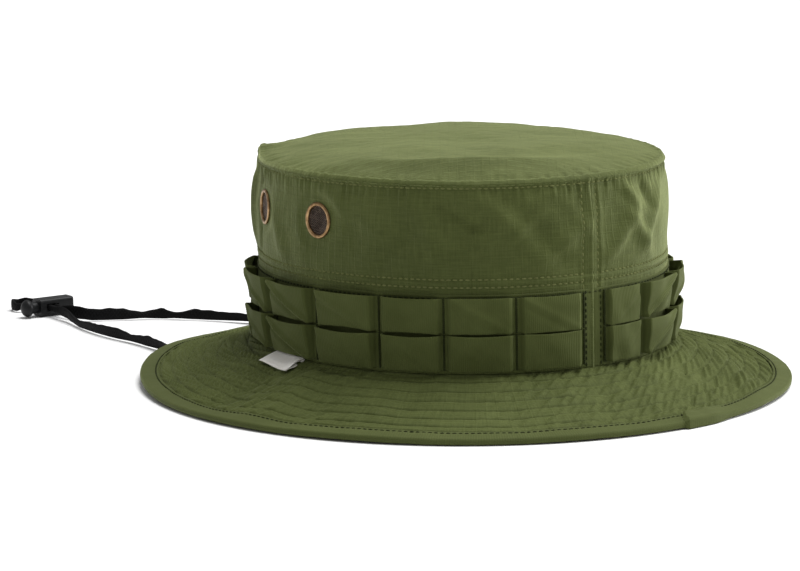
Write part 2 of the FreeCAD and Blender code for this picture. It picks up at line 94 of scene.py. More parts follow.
def bump(value, middle, width):
    """A soft hill, 1 at the middle."""
    return np.exp(-(((value - middle) / width) ** 2))


def turn_apart(angle, other):
    """The signed angle between two directions round the hat, in degrees."""
    return (angle - other + 180.0) % 360.0 - 180.0


def ripple(x, y, z=0.0):
    """Smooth noise over arrays of places, from -1 to 1."""
    xs, ys, zs = np.broadcast_arrays(x, y, z)
    values = [noise.noise(place) for place in zip(xs.ravel(), ys.ravel(), zs.ravel())]
    return np.array(values).reshape(xs.shape)


def oval_outward(angle):
    """The oval's outward direction in plan at an angle in degrees."""
    turn = np.radians(angle)
    x, y = np.cos(turn) / HALF_WIDTH, np.sin(turn) / HALF_LENGTH
    size = np.hypot(x, y)
    return x / size, y / size


def oval_place(angle, reach):
    """x and y at an angle in degrees and a reach out from the crown's oval."""
    turn = np.radians(angle)
    return (HALF_WIDTH + reach) * np.cos(turn), (HALF_LENGTH + reach) * np.sin(turn)


def oval_spot(angle, reach, height):
    """Places at an angle in degrees, a reach out from the crown's oval and a height."""
    x, y = oval_place(angle, reach)
    return np.stack([x, y, height], axis=-1)


MEAN_RADIUS = (HALF_WIDTH + HALF_LENGTH) / 2


def angle_length(angle):
    """The length round the crown that an angle in degrees spans."""
    return radians(angle) * MEAN_RADIUS


def length_angle(length):
    """The angle in degrees that a length round the crown spans."""
    return math.degrees(length / MEAN_RADIUS)


def wall_share(height):
    """How far up the free wall a height is, from 0 at the loops' strip to 1 at the top seam."""
    return np.clip((height - BAND_TOP_Z) / (TOP_SEAM_Z - BAND_TOP_Z), 0.0, 1.0)


# ---- meshes ----

def stand(name, data):
    """A new object of this data, put in the scene."""
    piece = bpy.data.objects.new(name, data)
    bpy.context.scene.collection.objects.link(piece)
    return piece


@contextmanager
def editing(mesh):
    """A mesh's editable copy, written back at the end."""
    bm = bmesh.new()
    bm.from_mesh(mesh)
    yield bm
    bm.to_mesh(mesh)
    bm.free()
    mesh.update()


def grid_piece(name, places, flat, closed=False, flip=False):
    """A mesh from a grid of places (rows, columns, 3) and its flat pattern's coordinates in metres."""
    rows, columns = places.shape[:2]
    mesh = bpy.data.meshes.new(name)
    wrap = columns if closed else columns - 1
    row, column = np.meshgrid(np.arange(rows - 1), np.arange(wrap), indexing="ij")
    after = (column + 1) % columns
    here, above = row * columns, (row + 1) * columns
    corners = np.stack([here + column, here + after, above + after, above + column], axis=-1).reshape(-1, 4)
    if flip:
        corners = corners[:, ::-1]
    mesh.vertices.add(rows * columns)
    mesh.vertices.foreach_set("co", places.reshape(-1).astype(np.float32))
    mesh.loops.add(corners.size)
    mesh.loops.foreach_set("vertex_index", corners.reshape(-1).astype(np.int32))
    mesh.polygons.add(len(corners))
    mesh.polygons.foreach_set("loop_start", np.arange(0, corners.size, 4, dtype=np.int32))
    mesh.polygons.foreach_set("use_smooth", np.ones(len(corners), bool))
    mesh.update(calc_edges=True)
    layer = mesh.uv_layers.new(name="flat")
    uv = flat.reshape(-1, 2)[corners]
    if closed:
        full_length = flat[0, -1, 0] - flat[0, 0, 0] + (flat[0, 1, 0] - flat[0, 0, 0])
        past_end = (column == columns - 1).reshape(-1, 1) & (corners % columns == 0)
        uv[past_end, 0] += full_length
    layer.data.foreach_set("uv", uv.reshape(-1).astype(np.float32))
    return stand(name, mesh)


def thicken(piece, thickness, offset=-1.0):
    """Gives a sheet its cloth's thickness, inwards from its faces."""
    solid = piece.modifiers.new("cloth", "SOLIDIFY")
    solid.thickness = thickness
    solid.offset = offset
    solid.use_even_offset = False
    return piece


def dress(piece, material):
    piece.data.materials.clear()
    piece.data.materials.append(material)
    return piece


def settle(piece, material, slot, *nodes, body="hat"):
    """Gives a finished piece its material, its body and the CAD nodes that it stands for."""
    if material is not None:
        dress(piece, material)
    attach(piece, body)
    if nodes:
        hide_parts(*nodes)
    return piece


# ---- the crown's surfaces ----

TOP_STITCH_DROP = 1.5 * MM
CROWN_ROWS_ABOVE_BAND = (3.2 * MM, 6.6 * MM)
SEAM_STITCH_OUT = 5.2 * MM
SEAM_ROWS = (-5.0 * MM, 2.9 * MM)
REAR_DEG, FRONT_DEG = 90.0, -90.0
TOP_GRAIN_DEG = 34.0
# A corner of cloth that stands up a little where the top meets the side.
PEAK_DEG, PEAK_SPREAD, PEAK_RISE, PEAK_OUT = -46.0, 5.0, 2.3 * MM, 1.6 * MM
PEAK_TALL = 16 * MM
TOP_OVERHANG = 0.9 * MM
VENT_HOLE = 7.0 * MM
WALL_BELLY = 0.9 * MM
FOLD_GAIN = 2.0
# The way round the hat at which the top panel falls away to its seam without a shoulder.
FACET_DEG, FACET_SPREAD = 58.0, 32.0


class Fold:
    """A soft crease in the crown's side, at an angle and height, with its tilt from level."""

    def __init__(self, angle, height, tilt, length, width, depth):
        self.angle, self.height, self.tilt = angle, height, radians(tilt)
        self.length, self.width, self.depth = length * MM, width * MM, depth * MM

    def reach(self, angle, height):
        across = radians(turn_apart(angle, self.angle)) * MEAN_RADIUS
        up = height - self.height
        along = across * math.cos(self.tilt) + up * math.sin(self.tilt)
        aside = up * math.cos(self.tilt) - across * math.sin(self.tilt)
        return self.depth * bump(aside, 0.0, self.width) * bump(along, 0.0, self.length)


def crown_folds():
    """The creases that show most, and a seeded scatter of fainter ones all round."""
    mid = (BAND_TOP_Z + TOP_SEAM_Z) / 2
    folds = [
        Fold(66, mid + 8 * MM, -38, 20, 5.6, 1.3),
        Fold(73, mid + 1 * MM, -44, 22, 5.2, -1.2),
        Fold(58, mid - 2 * MM, 34, 18, 6.0, 0.9),
        Fold(101, mid - 2 * MM, 46, 15, 4.0, 1.2),
        Fold(109, mid - 2 * MM, -48, 15, 4.0, 1.2),
        Fold(117, mid + 3 * MM, 50, 18, 4.4, 1.2),
        Fold(104, mid + 17 * MM, -52, 12, 3.4, 1.2),
        Fold(112, mid + 17 * MM, -56, 12, 3.4, -1.2),
        Fold(-34, mid + 6 * MM, 82, 26, 3.4, 1.3),
        Fold(-24, mid + 4 * MM, 86, 30, 3.0, -1.1),
        Fold(-46, mid + 2 * MM, 78, 24, 4.0, 1.0),
        Fold(22, mid + 10 * MM, -28, 26, 5.0, 0.5),
        Fold(36, mid - 8 * MM, 12, 30, 5.0, 0.4),
        Fold(52, mid + 10 * MM, -30, 16, 3.6, -0.9),
        Fold(80, mid - 4 * MM, 32, 20, 4.0, 1.0),
        Fold(44, mid + 3 * MM, -62, 20, 5.5, 0.7),
    ]
    draw = random.Random(11)
    for number in range(34):
        folds.append(
            Fold(
                draw.uniform(-180, 180),
                draw.uniform(BAND_TOP_Z + 8 * MM, TOP_SEAM_Z - 6 * MM),
                draw.uniform(20, 160),
                draw.uniform(12, 30),
                draw.uniform(2.6, 5.0),
                draw.uniform(-0.7, 0.7),
            )
        )
    return folds


FOLDS = crown_folds()


def vent_spots():
    """The angle and height of each vent, and its name's ending."""
    for side in SIDES:
        for end in ("front", "rear"):
            low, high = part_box(f"vent_eyelet_{side}_{end}")
            x, y = (low[0] + high[0]) / 2, (low[1] + high[1]) / 2
            angle = math.degrees(math.atan2(y / HALF_LENGTH, x / HALF_WIDTH))
            yield f"{side}_{end}", angle, (low[2] + high[2]) / 2


VENTS = list(vent_spots())


def vent_distance(angle, height):
    """How far each place on the wall is from the nearest vent's middle."""
    gaps = [
        np.hypot(radians(turn_apart(angle, at)) * MEAN_RADIUS, height - level) for _, at, level in VENTS
    ]
    return np.minimum.reduce(gaps)


def crown_reach(angle, height):
    """How far the crown's outer face stands out from the plain oval."""
    share = wall_share(height)
    free = smooth(0.02, 0.3, share) * (1 - 0.75 * smooth(0.8, 1.0, share))
    loose = smooth(8.5 * MM, 15 * MM, vent_distance(angle, height))
    reach = -CROWN_LEAN * share + WALL_BELLY * np.sin(math.pi * share) ** 0.8 * loose
    slack = ripple(angle / 24, height * 26) * 1.3 * MM + ripple(angle / 9, height * 60, 4.0) * 0.6 * MM
    for fold in FOLDS:
        slack = slack + FOLD_GAIN * fold.reach(angle, height)
    reach = reach + slack * free * loose
    below_seam = TOP_SEAM_Z - height
    pucker = ripple(angle * 0.95, height * 60, 9.0)
    reach = reach + 1.1 * MM * pucker * np.exp(-np.abs(below_seam - 3 * MM) / (3.5 * MM)) * (share > 0)
    reach = reach + 0.5 * MM * np.exp(-((below_seam / (1.5 * MM)) ** 2))
    reach = reach - 0.3 * MM * bump(below_seam, TOP_STITCH_DROP, 0.5 * MM)
    for row in CROWN_ROWS_ABOVE_BAND:
        above = height - BAND_TOP_Z - row
        tuck = 0.42 + 0.2 * ripple(angle * 0.8, row * 900)
        reach = reach - tuck * MM * bump(above, 0.0, 0.7 * MM)
    between = bump(height, BAND_TOP_Z + sum(CROWN_ROWS_ABOVE_BAND) / 2, 1.4 * MM)
    reach = reach + 0.22 * MM * between
    for seam in (REAR_DEG, FRONT_DEG):
        across = radians(turn_apart(angle, seam)) * MEAN_RADIUS
        wave = 0.15 * ripple(height * 300, across * 10)
        lap = smooth(-3.0 * MM, -0.3 * MM, across) - smooth(0.1 * MM, 0.9 * MM, across)
        reach = reach + (0.45 + wave) * MM * lap
        reach = reach + 0.35 * MM * (1 - smooth(SEAM_STITCH_OUT, SEAM_STITCH_OUT + 1.6 * MM, np.abs(across)))
        for line in SEAM_ROWS:
            tug = 0.5 + 0.2 * ripple(height * 420, line * 3000)
            reach = reach - tug * MM * bump(across, line, 0.6 * MM)
    return reach


def crown_place(angle, height, out=0.0):
    """A place on the crown's outer face, or out from it."""
    reach = crown_reach(angle, height) + out
    corner = bump(turn_apart(angle, PEAK_DEG), 0.0, PEAK_SPREAD)
    peak = corner * smooth(TOP_SEAM_Z - PEAK_TALL, TOP_SEAM_Z, height)
    return oval_spot(angle, reach + PEAK_OUT * peak, height + PEAK_RISE * peak)


def make_crown_sides(material):
    for side, start in (("left", -90.0), ("right", 90.0)):
        angles = np.linspace(start + 0.002, start + 179.998, 400)
        heights = np.concatenate(
            [
                np.linspace(CROWN_BASE_Z, BAND_TOP_Z, 12)[:-1],
                np.linspace(BAND_TOP_Z, TOP_SEAM_Z + 0.3 * MM, 96),
            ]
        )
        angle, height = np.meshgrid(angles, heights)
        flat = np.stack([angle_length(angle), height], axis=-1)
        piece = grid_piece(f"crown_panel_{side}", crown_place(angle, height), flat)
        punch_vents(piece)
        thicken(piece, CLOTH)
        settle(piece, material, "fabric_green", f"crown_side_{side}")


def punch_vents(piece):
    """Opens a crown panel behind each vent's rim."""
    mesh = piece.data
    centres = np.zeros(len(mesh.polygons) * 3, np.float32)
    mesh.polygons.foreach_get("center", centres)
    centres = centres.reshape(-1, 3)
    angles = np.degrees(np.arctan2(centres[:, 1] / HALF_LENGTH, centres[:, 0] / HALF_WIDTH))
    inside = set(np.flatnonzero(vent_distance(angles, centres[:, 2]) < VENT_HOLE).tolist())
    with editing(mesh) as bm:
        bmesh.ops.delete(bm, geom=[face for face in bm.faces if face.index in inside], context="FACES")


def top_place(angle, share, out=0.0):
    """A place on the top panel: share is 0 in its middle and 1 at its seam."""
    turn = np.radians(angle)
    facet = bump(turn_apart(angle, FACET_DEG), 0.0, FACET_SPREAD)
    crest = 0.8 + 0.02 * np.sin(np.radians(angle * 5))
    rounded = (1 - share**3.2) ** 0.75
    fallen = np.minimum(1.0, 0.82 * (1 - share) / (1 - crest) + 0.18 * (1 - share**2) * 2)
    rise = DOME_RISE * (rounded * (1 - facet) + fallen * facet)
    half_width, half_length = (half - CROWN_LEAN + TOP_OVERHANG for half in (HALF_WIDTH, HALF_LENGTH))
    x, y = half_width * share * np.cos(turn), half_length * share * np.sin(turn)
    inner = 1 - smooth(0.9, 1.0, share)
    sag = -0.4 * MM * bump(share, 0.9, 0.06) * bump(turn_apart(angle, 46.0), 0.0, 26.0)
    sag = sag + 0.9 * MM * bump(share, 0.78, 0.05) * bump(turn_apart(angle, 60.0), 0.0, 30.0)
    sag = sag - 0.8 * MM * bump(share, 0.66, 0.12) * bump(turn_apart(angle, 78.0), 0.0, 26.0)
    loose = ripple(x * 28, y * 28, 2.0) * 1.3 * MM + ripple(x * 70, y * 70, 5.0) * 0.5 * MM
    fine = ripple(x * 160, y * 160, 8.0) * 0.16 * MM
    pull = ripple(angle * 0.55, share * 6, 3.0) * 0.6 * MM * bump(share, 0.95, 0.05)
    z = TOP_SEAM_Z + rise + sag + (loose + fine) * inner + pull
    z = z + 0.9 * MM * bump(share, 0.985, 0.012) - 0.4 * MM * smooth(0.985, 1.0, share)
    peak = bump(turn_apart(angle, PEAK_DEG), 0.0, PEAK_SPREAD) * smooth(0.8, 1.0, share)
    x, y = x * (1 + 0.016 * peak), y * (1 + 0.016 * peak)
    return np.stack([x, y, z + PEAK_RISE * peak + out], axis=-1)


def make_crown_top(material):
    shares = np.concatenate([np.linspace(0.0, 0.86, 62)[:-1], np.linspace(0.86, 1.0, 26)])
    angles = np.linspace(0.0, 360.0, 480, endpoint=False)
    angle, share = np.meshgrid(angles, shares)
    places = top_place(angle, share)
    piece = grid_piece("crown_top_panel", places, places[..., :2].copy(), closed=True, flip=True)
    flat_uv_from_plan(piece)
    merge_doubles(piece)
    thicken(piece, CLOTH, offset=1.0 if faces_down(piece) else -1.0)
    settle(piece, material, "fabric_green", "crown_top")


def flat_uv_from_plan(piece):
    """Lays the cloth's flat pattern on a piece as seen from above, turned the way that it was cut."""
    mesh = piece.data
    places = np.zeros(len(mesh.vertices) * 3, np.float32)
    mesh.vertices.foreach_get("co", places)
    corners = np.zeros(len(mesh.loops), np.int32)
    mesh.loops.foreach_get("vertex_index", corners)
    turn = radians(TOP_GRAIN_DEG)
    grain = np.array([[math.cos(turn), math.sin(turn)], [-math.sin(turn), math.cos(turn)]], np.float32)
    mesh.uv_layers[0].data.foreach_set("uv", (places.reshape(-1, 3)[corners, :2] @ grain).reshape(-1))


def merge_doubles(piece, distance=1e-6):
    with editing(piece.data) as bm:
        bmesh.ops.remove_doubles(bm, verts=bm.verts, dist=distance)


def faces_down(piece):
    """Whether a mostly level sheet's faces point down."""
    return sum(face.normal.z * face.area for face in piece.data.polygons) < 0


# ---- the brim ----

QUILT_REACHES = [(6.0 + 7.0 * row) * MM for row in range(QUILT_ROWS)]
BINDING_START = BRIM_REACH - BINDING_WIDTH
LINING_DROP, LINING_CLOTH = 0.6 * MM, 1.0 * MM


def brim_level(angle, reach):
    """The brim's upper face before its quilting, as the frame has it, with a little slack added."""
    out = np.clip(reach / BRIM_REACH, 0.0, 1.0)
    edge = BINDING_CLOTH + BRIM_THICK
    height = edge + (SEAM_Z - edge) * (1 - out) ** BRIM_HOLLOW
    for amount, middle, power in EDGE_LIFTS:
        lift = np.maximum(0.0, np.cos(np.radians(angle - middle))) ** power
        height = height + amount * lift * out**2
    wave = ripple(np.cos(np.radians(angle)) * 3.1, np.sin(np.radians(angle)) * 3.1, 1.0)
    height = height + (0.7 + wave) * 0.5 * MM * out**1.5
    inward = np.sin(math.pi * np.clip(out, 0, 1)) ** 0.9
    swell = ripple(np.cos(np.radians(angle)) * 6, np.sin(np.radians(angle)) * 6, out * 1.5)
    height = height + swell * 1.2 * MM * inward
    height = height + 2.3 * MM * bump(turn_apart(angle, 13.5), 0.0, 5.2) * inward
    height = height - 1.6 * MM * bump(turn_apart(angle, 1.0), 0.0, 8.0) * inward
    right_ridge = 150.0 - 36.0 * np.clip(out, 0, 1)
    height = height + 1.7 * MM * bump(turn_apart(angle, right_ridge), 0.0, 5.0) * inward
    return height


def quilting(angle, reach):
    """The puffed channels between the stitch rows and the puckers that the stitching pulls across them."""
    rows = np.array([0.0] + QUILT_REACHES + [BINDING_START + BINDING_ROW])
    channel = np.clip(np.searchsorted(rows, reach, side="right") - 1, 0, len(rows) - 2)
    low, high = rows[channel], rows[channel + 1]
    across = np.clip((reach - low) / (high - low), 0.0, 1.0)
    puff = np.abs(np.sin(math.pi * across)) ** 0.5
    groove = sum(bump(reach, row, 0.42 * MM) for row in QUILT_REACHES)
    groove = groove + 1.2 * bump(reach, BINDING_START - 0.4 * MM, 0.6 * MM)
    round_way = angle_length(angle) * (1 + reach / MEAN_RADIUS)
    calm = 1 - 0.9 * bump(turn_apart(angle, 48.0), 0.0, 30.0) - 0.3 * bump(turn_apart(angle, 150.0), 0.0, 40.0)
    skewed = round_way + reach * 0.3 * np.sin(np.radians(angle * 3 + 60))
    pucker = ripple(skewed / (3.3 * MM), channel * 13.7, reach * 70)
    pucker = pucker + 0.7 * ripple(skewed / (1.7 * MM), channel * 15.1 + 40, reach * 90)
    raised = 0.34 * MM * puff + 1.75 * MM * pucker * calm * (0.3 + 0.7 * puff) - 0.8 * MM * groove
    return raised * (reach < BRIM_REACH)


def quilt_fade(reach):
    """Where the quilting is full: it dies out beside the crown and under the binding."""
    return smooth(0.0, 2.5 * MM, reach) * (1 - smooth(BINDING_START, BINDING_START + 3 * MM, reach))


def brim_top_place(angle, reach):
    return oval_spot(angle, reach, brim_level(angle, reach) + quilting(angle, reach) * quilt_fade(reach))


def brim_under_place(angle, reach):
    quilted = 0.7 * quilting(angle + 7.0, reach) * quilt_fade(reach)
    return oval_spot(angle, reach, brim_level(angle, reach) - BRIM_THICK - quilted)


def quilt_samples(cut_edge):
    """Reaches across the brim, closer together beside each stitch row."""
    rows = [0.1 * MM] + QUILT_REACHES + [BINDING_START - 0.4 * MM, cut_edge]
    even = np.linspace(0.0, 1.0, 13)[:-1]
    shares = 0.45 * even + 0.55 * (1 - np.cos(math.pi * even)) / 2
    spans = [low + (high - low) * shares for low, high in zip(rows, rows[1:])]
    return np.concatenate(spans + [[cut_edge]])


def ring_piece(name, dense, thick, columns, up=True):
    """A thin closed ring: a detailed face from dense(angle, reach) and a plain back, thick away from it."""
    angles = np.linspace(0.0, 360.0, columns, endpoint=False)
    cut_edge = BRIM_REACH - 0.6 * MM
    reaches = quilt_samples(cut_edge)
    back = reaches[::-1][::8]
    angle, reach = np.meshgrid(angles, reaches)
    face = dense(angle, reach)
    angle_back, reach_back = np.meshgrid(angles, back)
    level = brim_level(angle_back, reach_back)
    plain = oval_spot(angle_back, reach_back, level - thick if up else level - BRIM_THICK + thick)
    places = np.concatenate([face, plain, face[:1]])
    all_reach = np.concatenate([reach, reach_back, reach[:1]])
    flat = np.stack([angle_length(np.broadcast_to(angles, all_reach.shape)), all_reach], axis=-1)
    piece = grid_piece(name, places, flat, closed=True, flip=up)
    merge_doubles(piece)
    return piece


def lining_place(angle, reach):
    return oval_spot(angle, reach, brim_level(angle, reach) - LINING_DROP)


def make_brim(cloth_material, lining_material):
    for name, place_at, thick, columns, material, slot, node in (
        ("brim_top_cloth", brim_top_place, CLOTH, 840, cloth_material, "fabric_green", "brim_upper"),
        ("brim_under_cloth", brim_under_place, CLOTH, 640, cloth_material, "fabric_green", "brim_lower"),
        ("brim_lining", lining_place, LINING_CLOTH, 240, lining_material, "interlining", "brim_interlining"),
    ):
        layer = ring_piece(name, place_at, thick, columns, up=place_at is not brim_under_place)
        settle(layer, material, slot, node)


LAP_DEG = 95.5
LAP_SLANT_DEG = 2.4


def binding_section():
    """(reach, height above the brim's middle) round the folded tape, from its inner edge on top to below."""
    half = BRIM_THICK / 2 + BINDING_CLOTH
    outer = BRIM_REACH - half * 0.75
    top = [(reach, half) for reach in np.linspace(BINDING_START, outer, 16)]
    turned = np.linspace(90.0, -90.0, 11)[1:-1]
    edge = [(outer + half * 0.75 * math.cos(radians(t)), half * math.sin(radians(t))) for t in turned]
    under = [(reach, -half) for reach in np.linspace(outer, BINDING_START, 12)]
    inside = BRIM_THICK / 2 + 0.08 * MM
    back = [(BINDING_START, -inside), (outer, -inside), (outer, inside), (BINDING_START, inside)]
    return top + edge + under + back


def make_binding(material):
    """The edge tape, with its lapped join and the small tucks that its stitching makes."""
    angles = np.linspace(0.0, 360.0, 1080, endpoint=False)
    section = binding_section()
    section.append(section[0])
    rows = []
    for number, (reach, high) in enumerate(section):
        outside = number < len(section) - 5 or number == len(section) - 1
        inner_share = 1 - smooth(BINDING_START, BINDING_START + 4 * MM, reach)
        diagonal = turn_apart(angles, LAP_DEG) + (reach - BINDING_START) / BINDING_WIDTH * LAP_SLANT_DEG
        lap = smooth(-0.1, 0.1, diagonal) * (1 - smooth(5.0, 12.0, diagonal)) * 1.3 * MM * outside
        tuck = 0.22 * MM * ripple(angle_length(angles) / (4.2 * MM), reach * 40 + 3.0) * outside
        crown = 0.25 * MM * math.sin(math.pi * min(1.0, max(0.0, (reach - BINDING_START) / BINDING_WIDTH)))
        dip = -0.22 * MM * float(bump(reach, BINDING_START + BINDING_ROW, 0.6 * MM))
        sign = 1.0 if high > 0 else -1.0
        grow = (lap + tuck * (0.4 + inner_share) + (crown + dip) * outside) * sign
        edge_out = (lap + 0.3 * tuck) * (reach > BRIM_REACH - 2 * MM)
        z = brim_level(angles, np.full_like(angles, reach)) - BRIM_THICK / 2 + high + grow
        rows.append(oval_spot(angles, reach + edge_out, np.maximum(z, 0.02 * MM)))
    places = np.stack(rows)
    lengths = np.cumsum([0.0] + [math.dist(a, b) for a, b in zip(section, section[1:])])
    flat = np.stack(np.broadcast_arrays(angle_length(angles), lengths[:, None]), axis=-1)
    piece = grid_piece("brim_edge_binding", places, flat, closed=True, flip=True)
    merge_doubles(piece)
    settle(piece, material, "tape_green", "brim_binding")


# ---- the loops round the crown ----

LOOP_ROWS = {"lower": SEAM_Z + 1.5 * MM, "upper": SEAM_Z + 17.6 * MM}
TAPE_WIDTH = 16.0 * MM
TAPE_CLOTH = 0.55 * MM
BAND_CLOTH = 0.45 * MM
TAPE_BACK = 1.0 * MM
TACK_LINE = 1.5 * MM
# A loop's share that lies flat at each tack, the share of its steep shoulder, and how far the tacks pinch it.
LOOP_FLAT_END, LOOP_SHOULDER, LOOP_PINCH = 0.04, 0.075, 0.6 * MM
# How wide each loop is beside the others, from the rear seam on.
LOOP_WIDTHS = {
    "left": (19.6, 19.2, 17.6, 20.2, 20.4, 20.0, 19.6, 19.4, 17.0),
    "right": (14.4, 20.2, 20.0, 20.2, 20.4, 20.0, 20.4, 20.2, 17.2),
}


def division_angles(side):
    """The angles of the bar tacks on one side, from the rear seam's strip to the front's."""
    widths = LOOP_WIDTHS[side]
    scale = (180.0 - 2 * SEAM_STRIP_DEG) / sum(widths)
    turned = [SEAM_STRIP_DEG]
    for width in widths:
        turned.append(turned[-1] + width * scale)
    sign = -1.0 if side == "left" else 1.0
    return [REAR_DEG + sign * angle for angle in turned]


def band_reach(angle, height):
    """The strip of tape that lies flat under the loops."""
    top_edge = 0.25 * MM * bump(height, BAND_TOP_Z - TACK_LINE, 0.6 * MM)
    return 0.55 * MM + 0.12 * MM * ripple(angle * 0.5, height * 120, 6.0) - top_edge


def band_place(angle, height):
    return oval_spot(angle, band_reach(angle, height), height)


def make_loop_bands(material):
    for side, start in (("left", -90.0), ("right", 90.0)):
        angles = np.linspace(start + 0.02, start + 179.98, 300)
        heights = np.linspace(SEAM_Z + 0.1 * MM, BAND_TOP_Z, 44)
        angle, height = np.meshgrid(angles, heights)
        flat = np.stack([angle_length(angle), height], axis=-1)
        piece = grid_piece(f"loop_backing_{side}", band_place(angle, height), flat)
        thicken(piece, BAND_CLOTH)
        settle(piece, material, "tape_green", f"loop_band_{side}")


class Loop:
    """One slack loop of tape between two bar tacks, with its own slack, twist and crease."""

    def __init__(self, draw, start, end, row, slack, twist=0.0, crease=0.0, lift=0.0, lean=0.0):
        self.start, self.end, self.row = start, end, row
        self.slack, self.twist, self.crease, self.lift, self.lean = slack, twist, crease, lift, lean
        self.phase = draw.uniform(0, 50)

    def place(self, share, across):
        """A place on the tape: share along it from 0 to 1, across from 0 at its lower edge to 1."""
        angle = self.start + (self.end - self.start) * share
        loose = np.clip((share - LOOP_FLAT_END) / (1 - 2 * LOOP_FLAT_END), 0.0, 1.0)
        box = smooth(0.0, LOOP_SHOULDER, loose) * (1 - smooth(1 - LOOP_SHOULDER, 1.0, loose))
        belly = (0.84 * box + 0.16 * np.sin(math.pi * loose) ** 0.7) * 1.2
        centred = across - 0.5
        top_more = 1 + 0.38 * self.twist * centred * 2
        reach = TAPE_BACK + self.slack * belly * top_more
        reach = reach + self.crease * MM * bump(centred * 1.6 - (loose - 0.5) * 1.7, 0.0, 0.13) * belly
        reach = reach - 0.8 * self.crease * MM * bump(centred * 1.6 - (loose - 0.72) * 1.7, 0.0, 0.12) * belly
        reach = reach - 0.35 * MM * (2 * centred) ** 2 * belly
        reach = reach + ripple(share * 3.1 + self.phase, across * 1.9, self.phase) * 0.55 * MM * belly
        height = LOOP_ROWS[self.row] + TAPE_WIDTH * across
        bow = np.sin(math.pi * loose)
        sink = self.lift * MM * bow * (0.5 - centred) - self.lean * MM * bow * (0.5 + centred)
        pinch = LOOP_PINCH * (1 - box)
        height = height + sink - pinch * centred * 2
        turned = np.sign(self.end - self.start) * 0.35 * self.twist * centred * np.sin(2 * math.pi * loose)
        angle = angle + turned
        return oval_spot(angle, reach, height)


def side_loops(side, row):
    """The loops of one row on one side; the ones that sit slackest or twisted are named by their count."""
    turned = division_angles(side)
    draw = random.Random({"left": 3, "right": 7}[side] * (1 if row == "lower" else 5))
    told = LOOP_LOOKS[side, row]
    loops = []
    for number, (start, end) in enumerate(zip(turned, turned[1:])):
        look = {
            "slack": draw.uniform(2.0, 3.4) * MM,
            "twist": draw.uniform(-0.3, 0.6),
            "crease": draw.uniform(-0.3, 0.5),
            "lift": draw.uniform(0.2, 0.8),
            "lean": draw.uniform(0.0, 0.4),
        }
        if number < len(told):
            look.update((name, value) for name, value in zip(look, told[number]) if value is not None)
        loops.append(Loop(draw, start, end, row, **look))
    return loops


# Slack, twist, crease, lift and lean of the loops nearest the rear seam; None is left to the draw.
LOOP_LOOKS = {
    ("left", "upper"): (
        (2.1 * MM, -0.2, None, 0.2, None),
        (2.5 * MM, 0.2, None, 0.4, None),
        (3.2 * MM, 0.4, None, 0.9, None),
        (3.6 * MM, 0.6, 0.5, 1.2, None),
        (3.7 * MM, 0.9, 1.2, 0.6, None),
        (3.8 * MM, 0.9, 1.3, 0.6, None),
        (3.9 * MM, 0.8, -0.8, 0.5, None),
    ),
    ("left", "lower"): (
        (2.6 * MM, 0.4, None, 0.2, 0.4),
        (3.0 * MM, 0.6, None, 0.2, 0.5),
        (3.6 * MM, 0.9, None, 0.3, 0.7),
        (3.8 * MM, 1.0, None, 0.3, 0.8),
        (3.7 * MM, 0.9, 1.3, None, 0.9),
        (3.8 * MM, 0.8, 1.0, None, 0.6),
    ),
    ("right", "upper"): (
        (2.2 * MM, -0.2, None, 0.2, None),
        (3.4 * MM, 0.9, 1.3, None, None),
        (3.9 * MM, 1.0, 0.9, 0.2, None),
    ),
    ("right", "lower"): (
        (2.5 * MM, 0.3, None, 0.3, 0.3),
        (3.6 * MM, 0.8, 1.2, None, 0.5),
        (3.8 * MM, 0.8, 0.6, None, 0.4),
    ),
}


def make_loops(material):
    spans = ((0.0, 0.16, 14), (0.16, 0.84, 18), (0.84, 1.0, 14))
    shares = np.concatenate([np.linspace(low, high, count)[bool(low):] for low, high, count in spans])
    for side in SIDES:
        for row in LOOP_ROWS:
            strips, flats = [], []
            for number, loop in enumerate(side_loops(side, row)):
                share, across = np.meshgrid(shares[1:] if number else shares, np.linspace(0.0, 1.0, 20))
                strips.append(loop.place(share, across))
                run = loop.start + (loop.end - loop.start) * share
                flats.append(np.stack([angle_length(run), across * TAPE_WIDTH], axis=-1))
            places = np.concatenate(strips, axis=1)
            flat = np.concatenate(flats, axis=1)
            piece = grid_piece(f"loop_run_{row}_{side}", places, flat, flip=side == "left")
            thicken(piece, TAPE_CLOTH, offset=0.0)
            rim = piece.modifiers.new("woven edge", "BEVEL")
            rim.width = 0.12 * MM
            rim.segments = 2
            rim.limit_method = "ANGLE"
            rim.angle_limit = radians(50)
            settle(piece, material, "tape_green", f"loop_tape_{row}_{side}")


# ---- the vents ----

EYELET_OUTER = 8.0 * MM
EYELET_INNER = 6.3 * MM
WIRE_PITCH = 0.8 * MM
WIRE_THICK = 0.3 * MM
WIRE_SINK = 0.3 * MM
WIRE_SLANT_DEG = 38


def vent_frame(angle, height):
    """Where a vent's eyelet sits: its middle, its way out, its way up and its way across."""
    out_x, out_y = oval_outward(angle)
    share = CROWN_LEAN / (TOP_SEAM_Z - BAND_TOP_Z)
    x, y = oval_place(angle, -share * (height - BAND_TOP_Z))
    middle = Vector((float(x), float(y), height))
    out = Vector((float(out_x), float(out_y), share)).normalized()
    across = Vector((0, 0, 1)).cross(out).normalized()
    return middle, out, out.cross(across), across


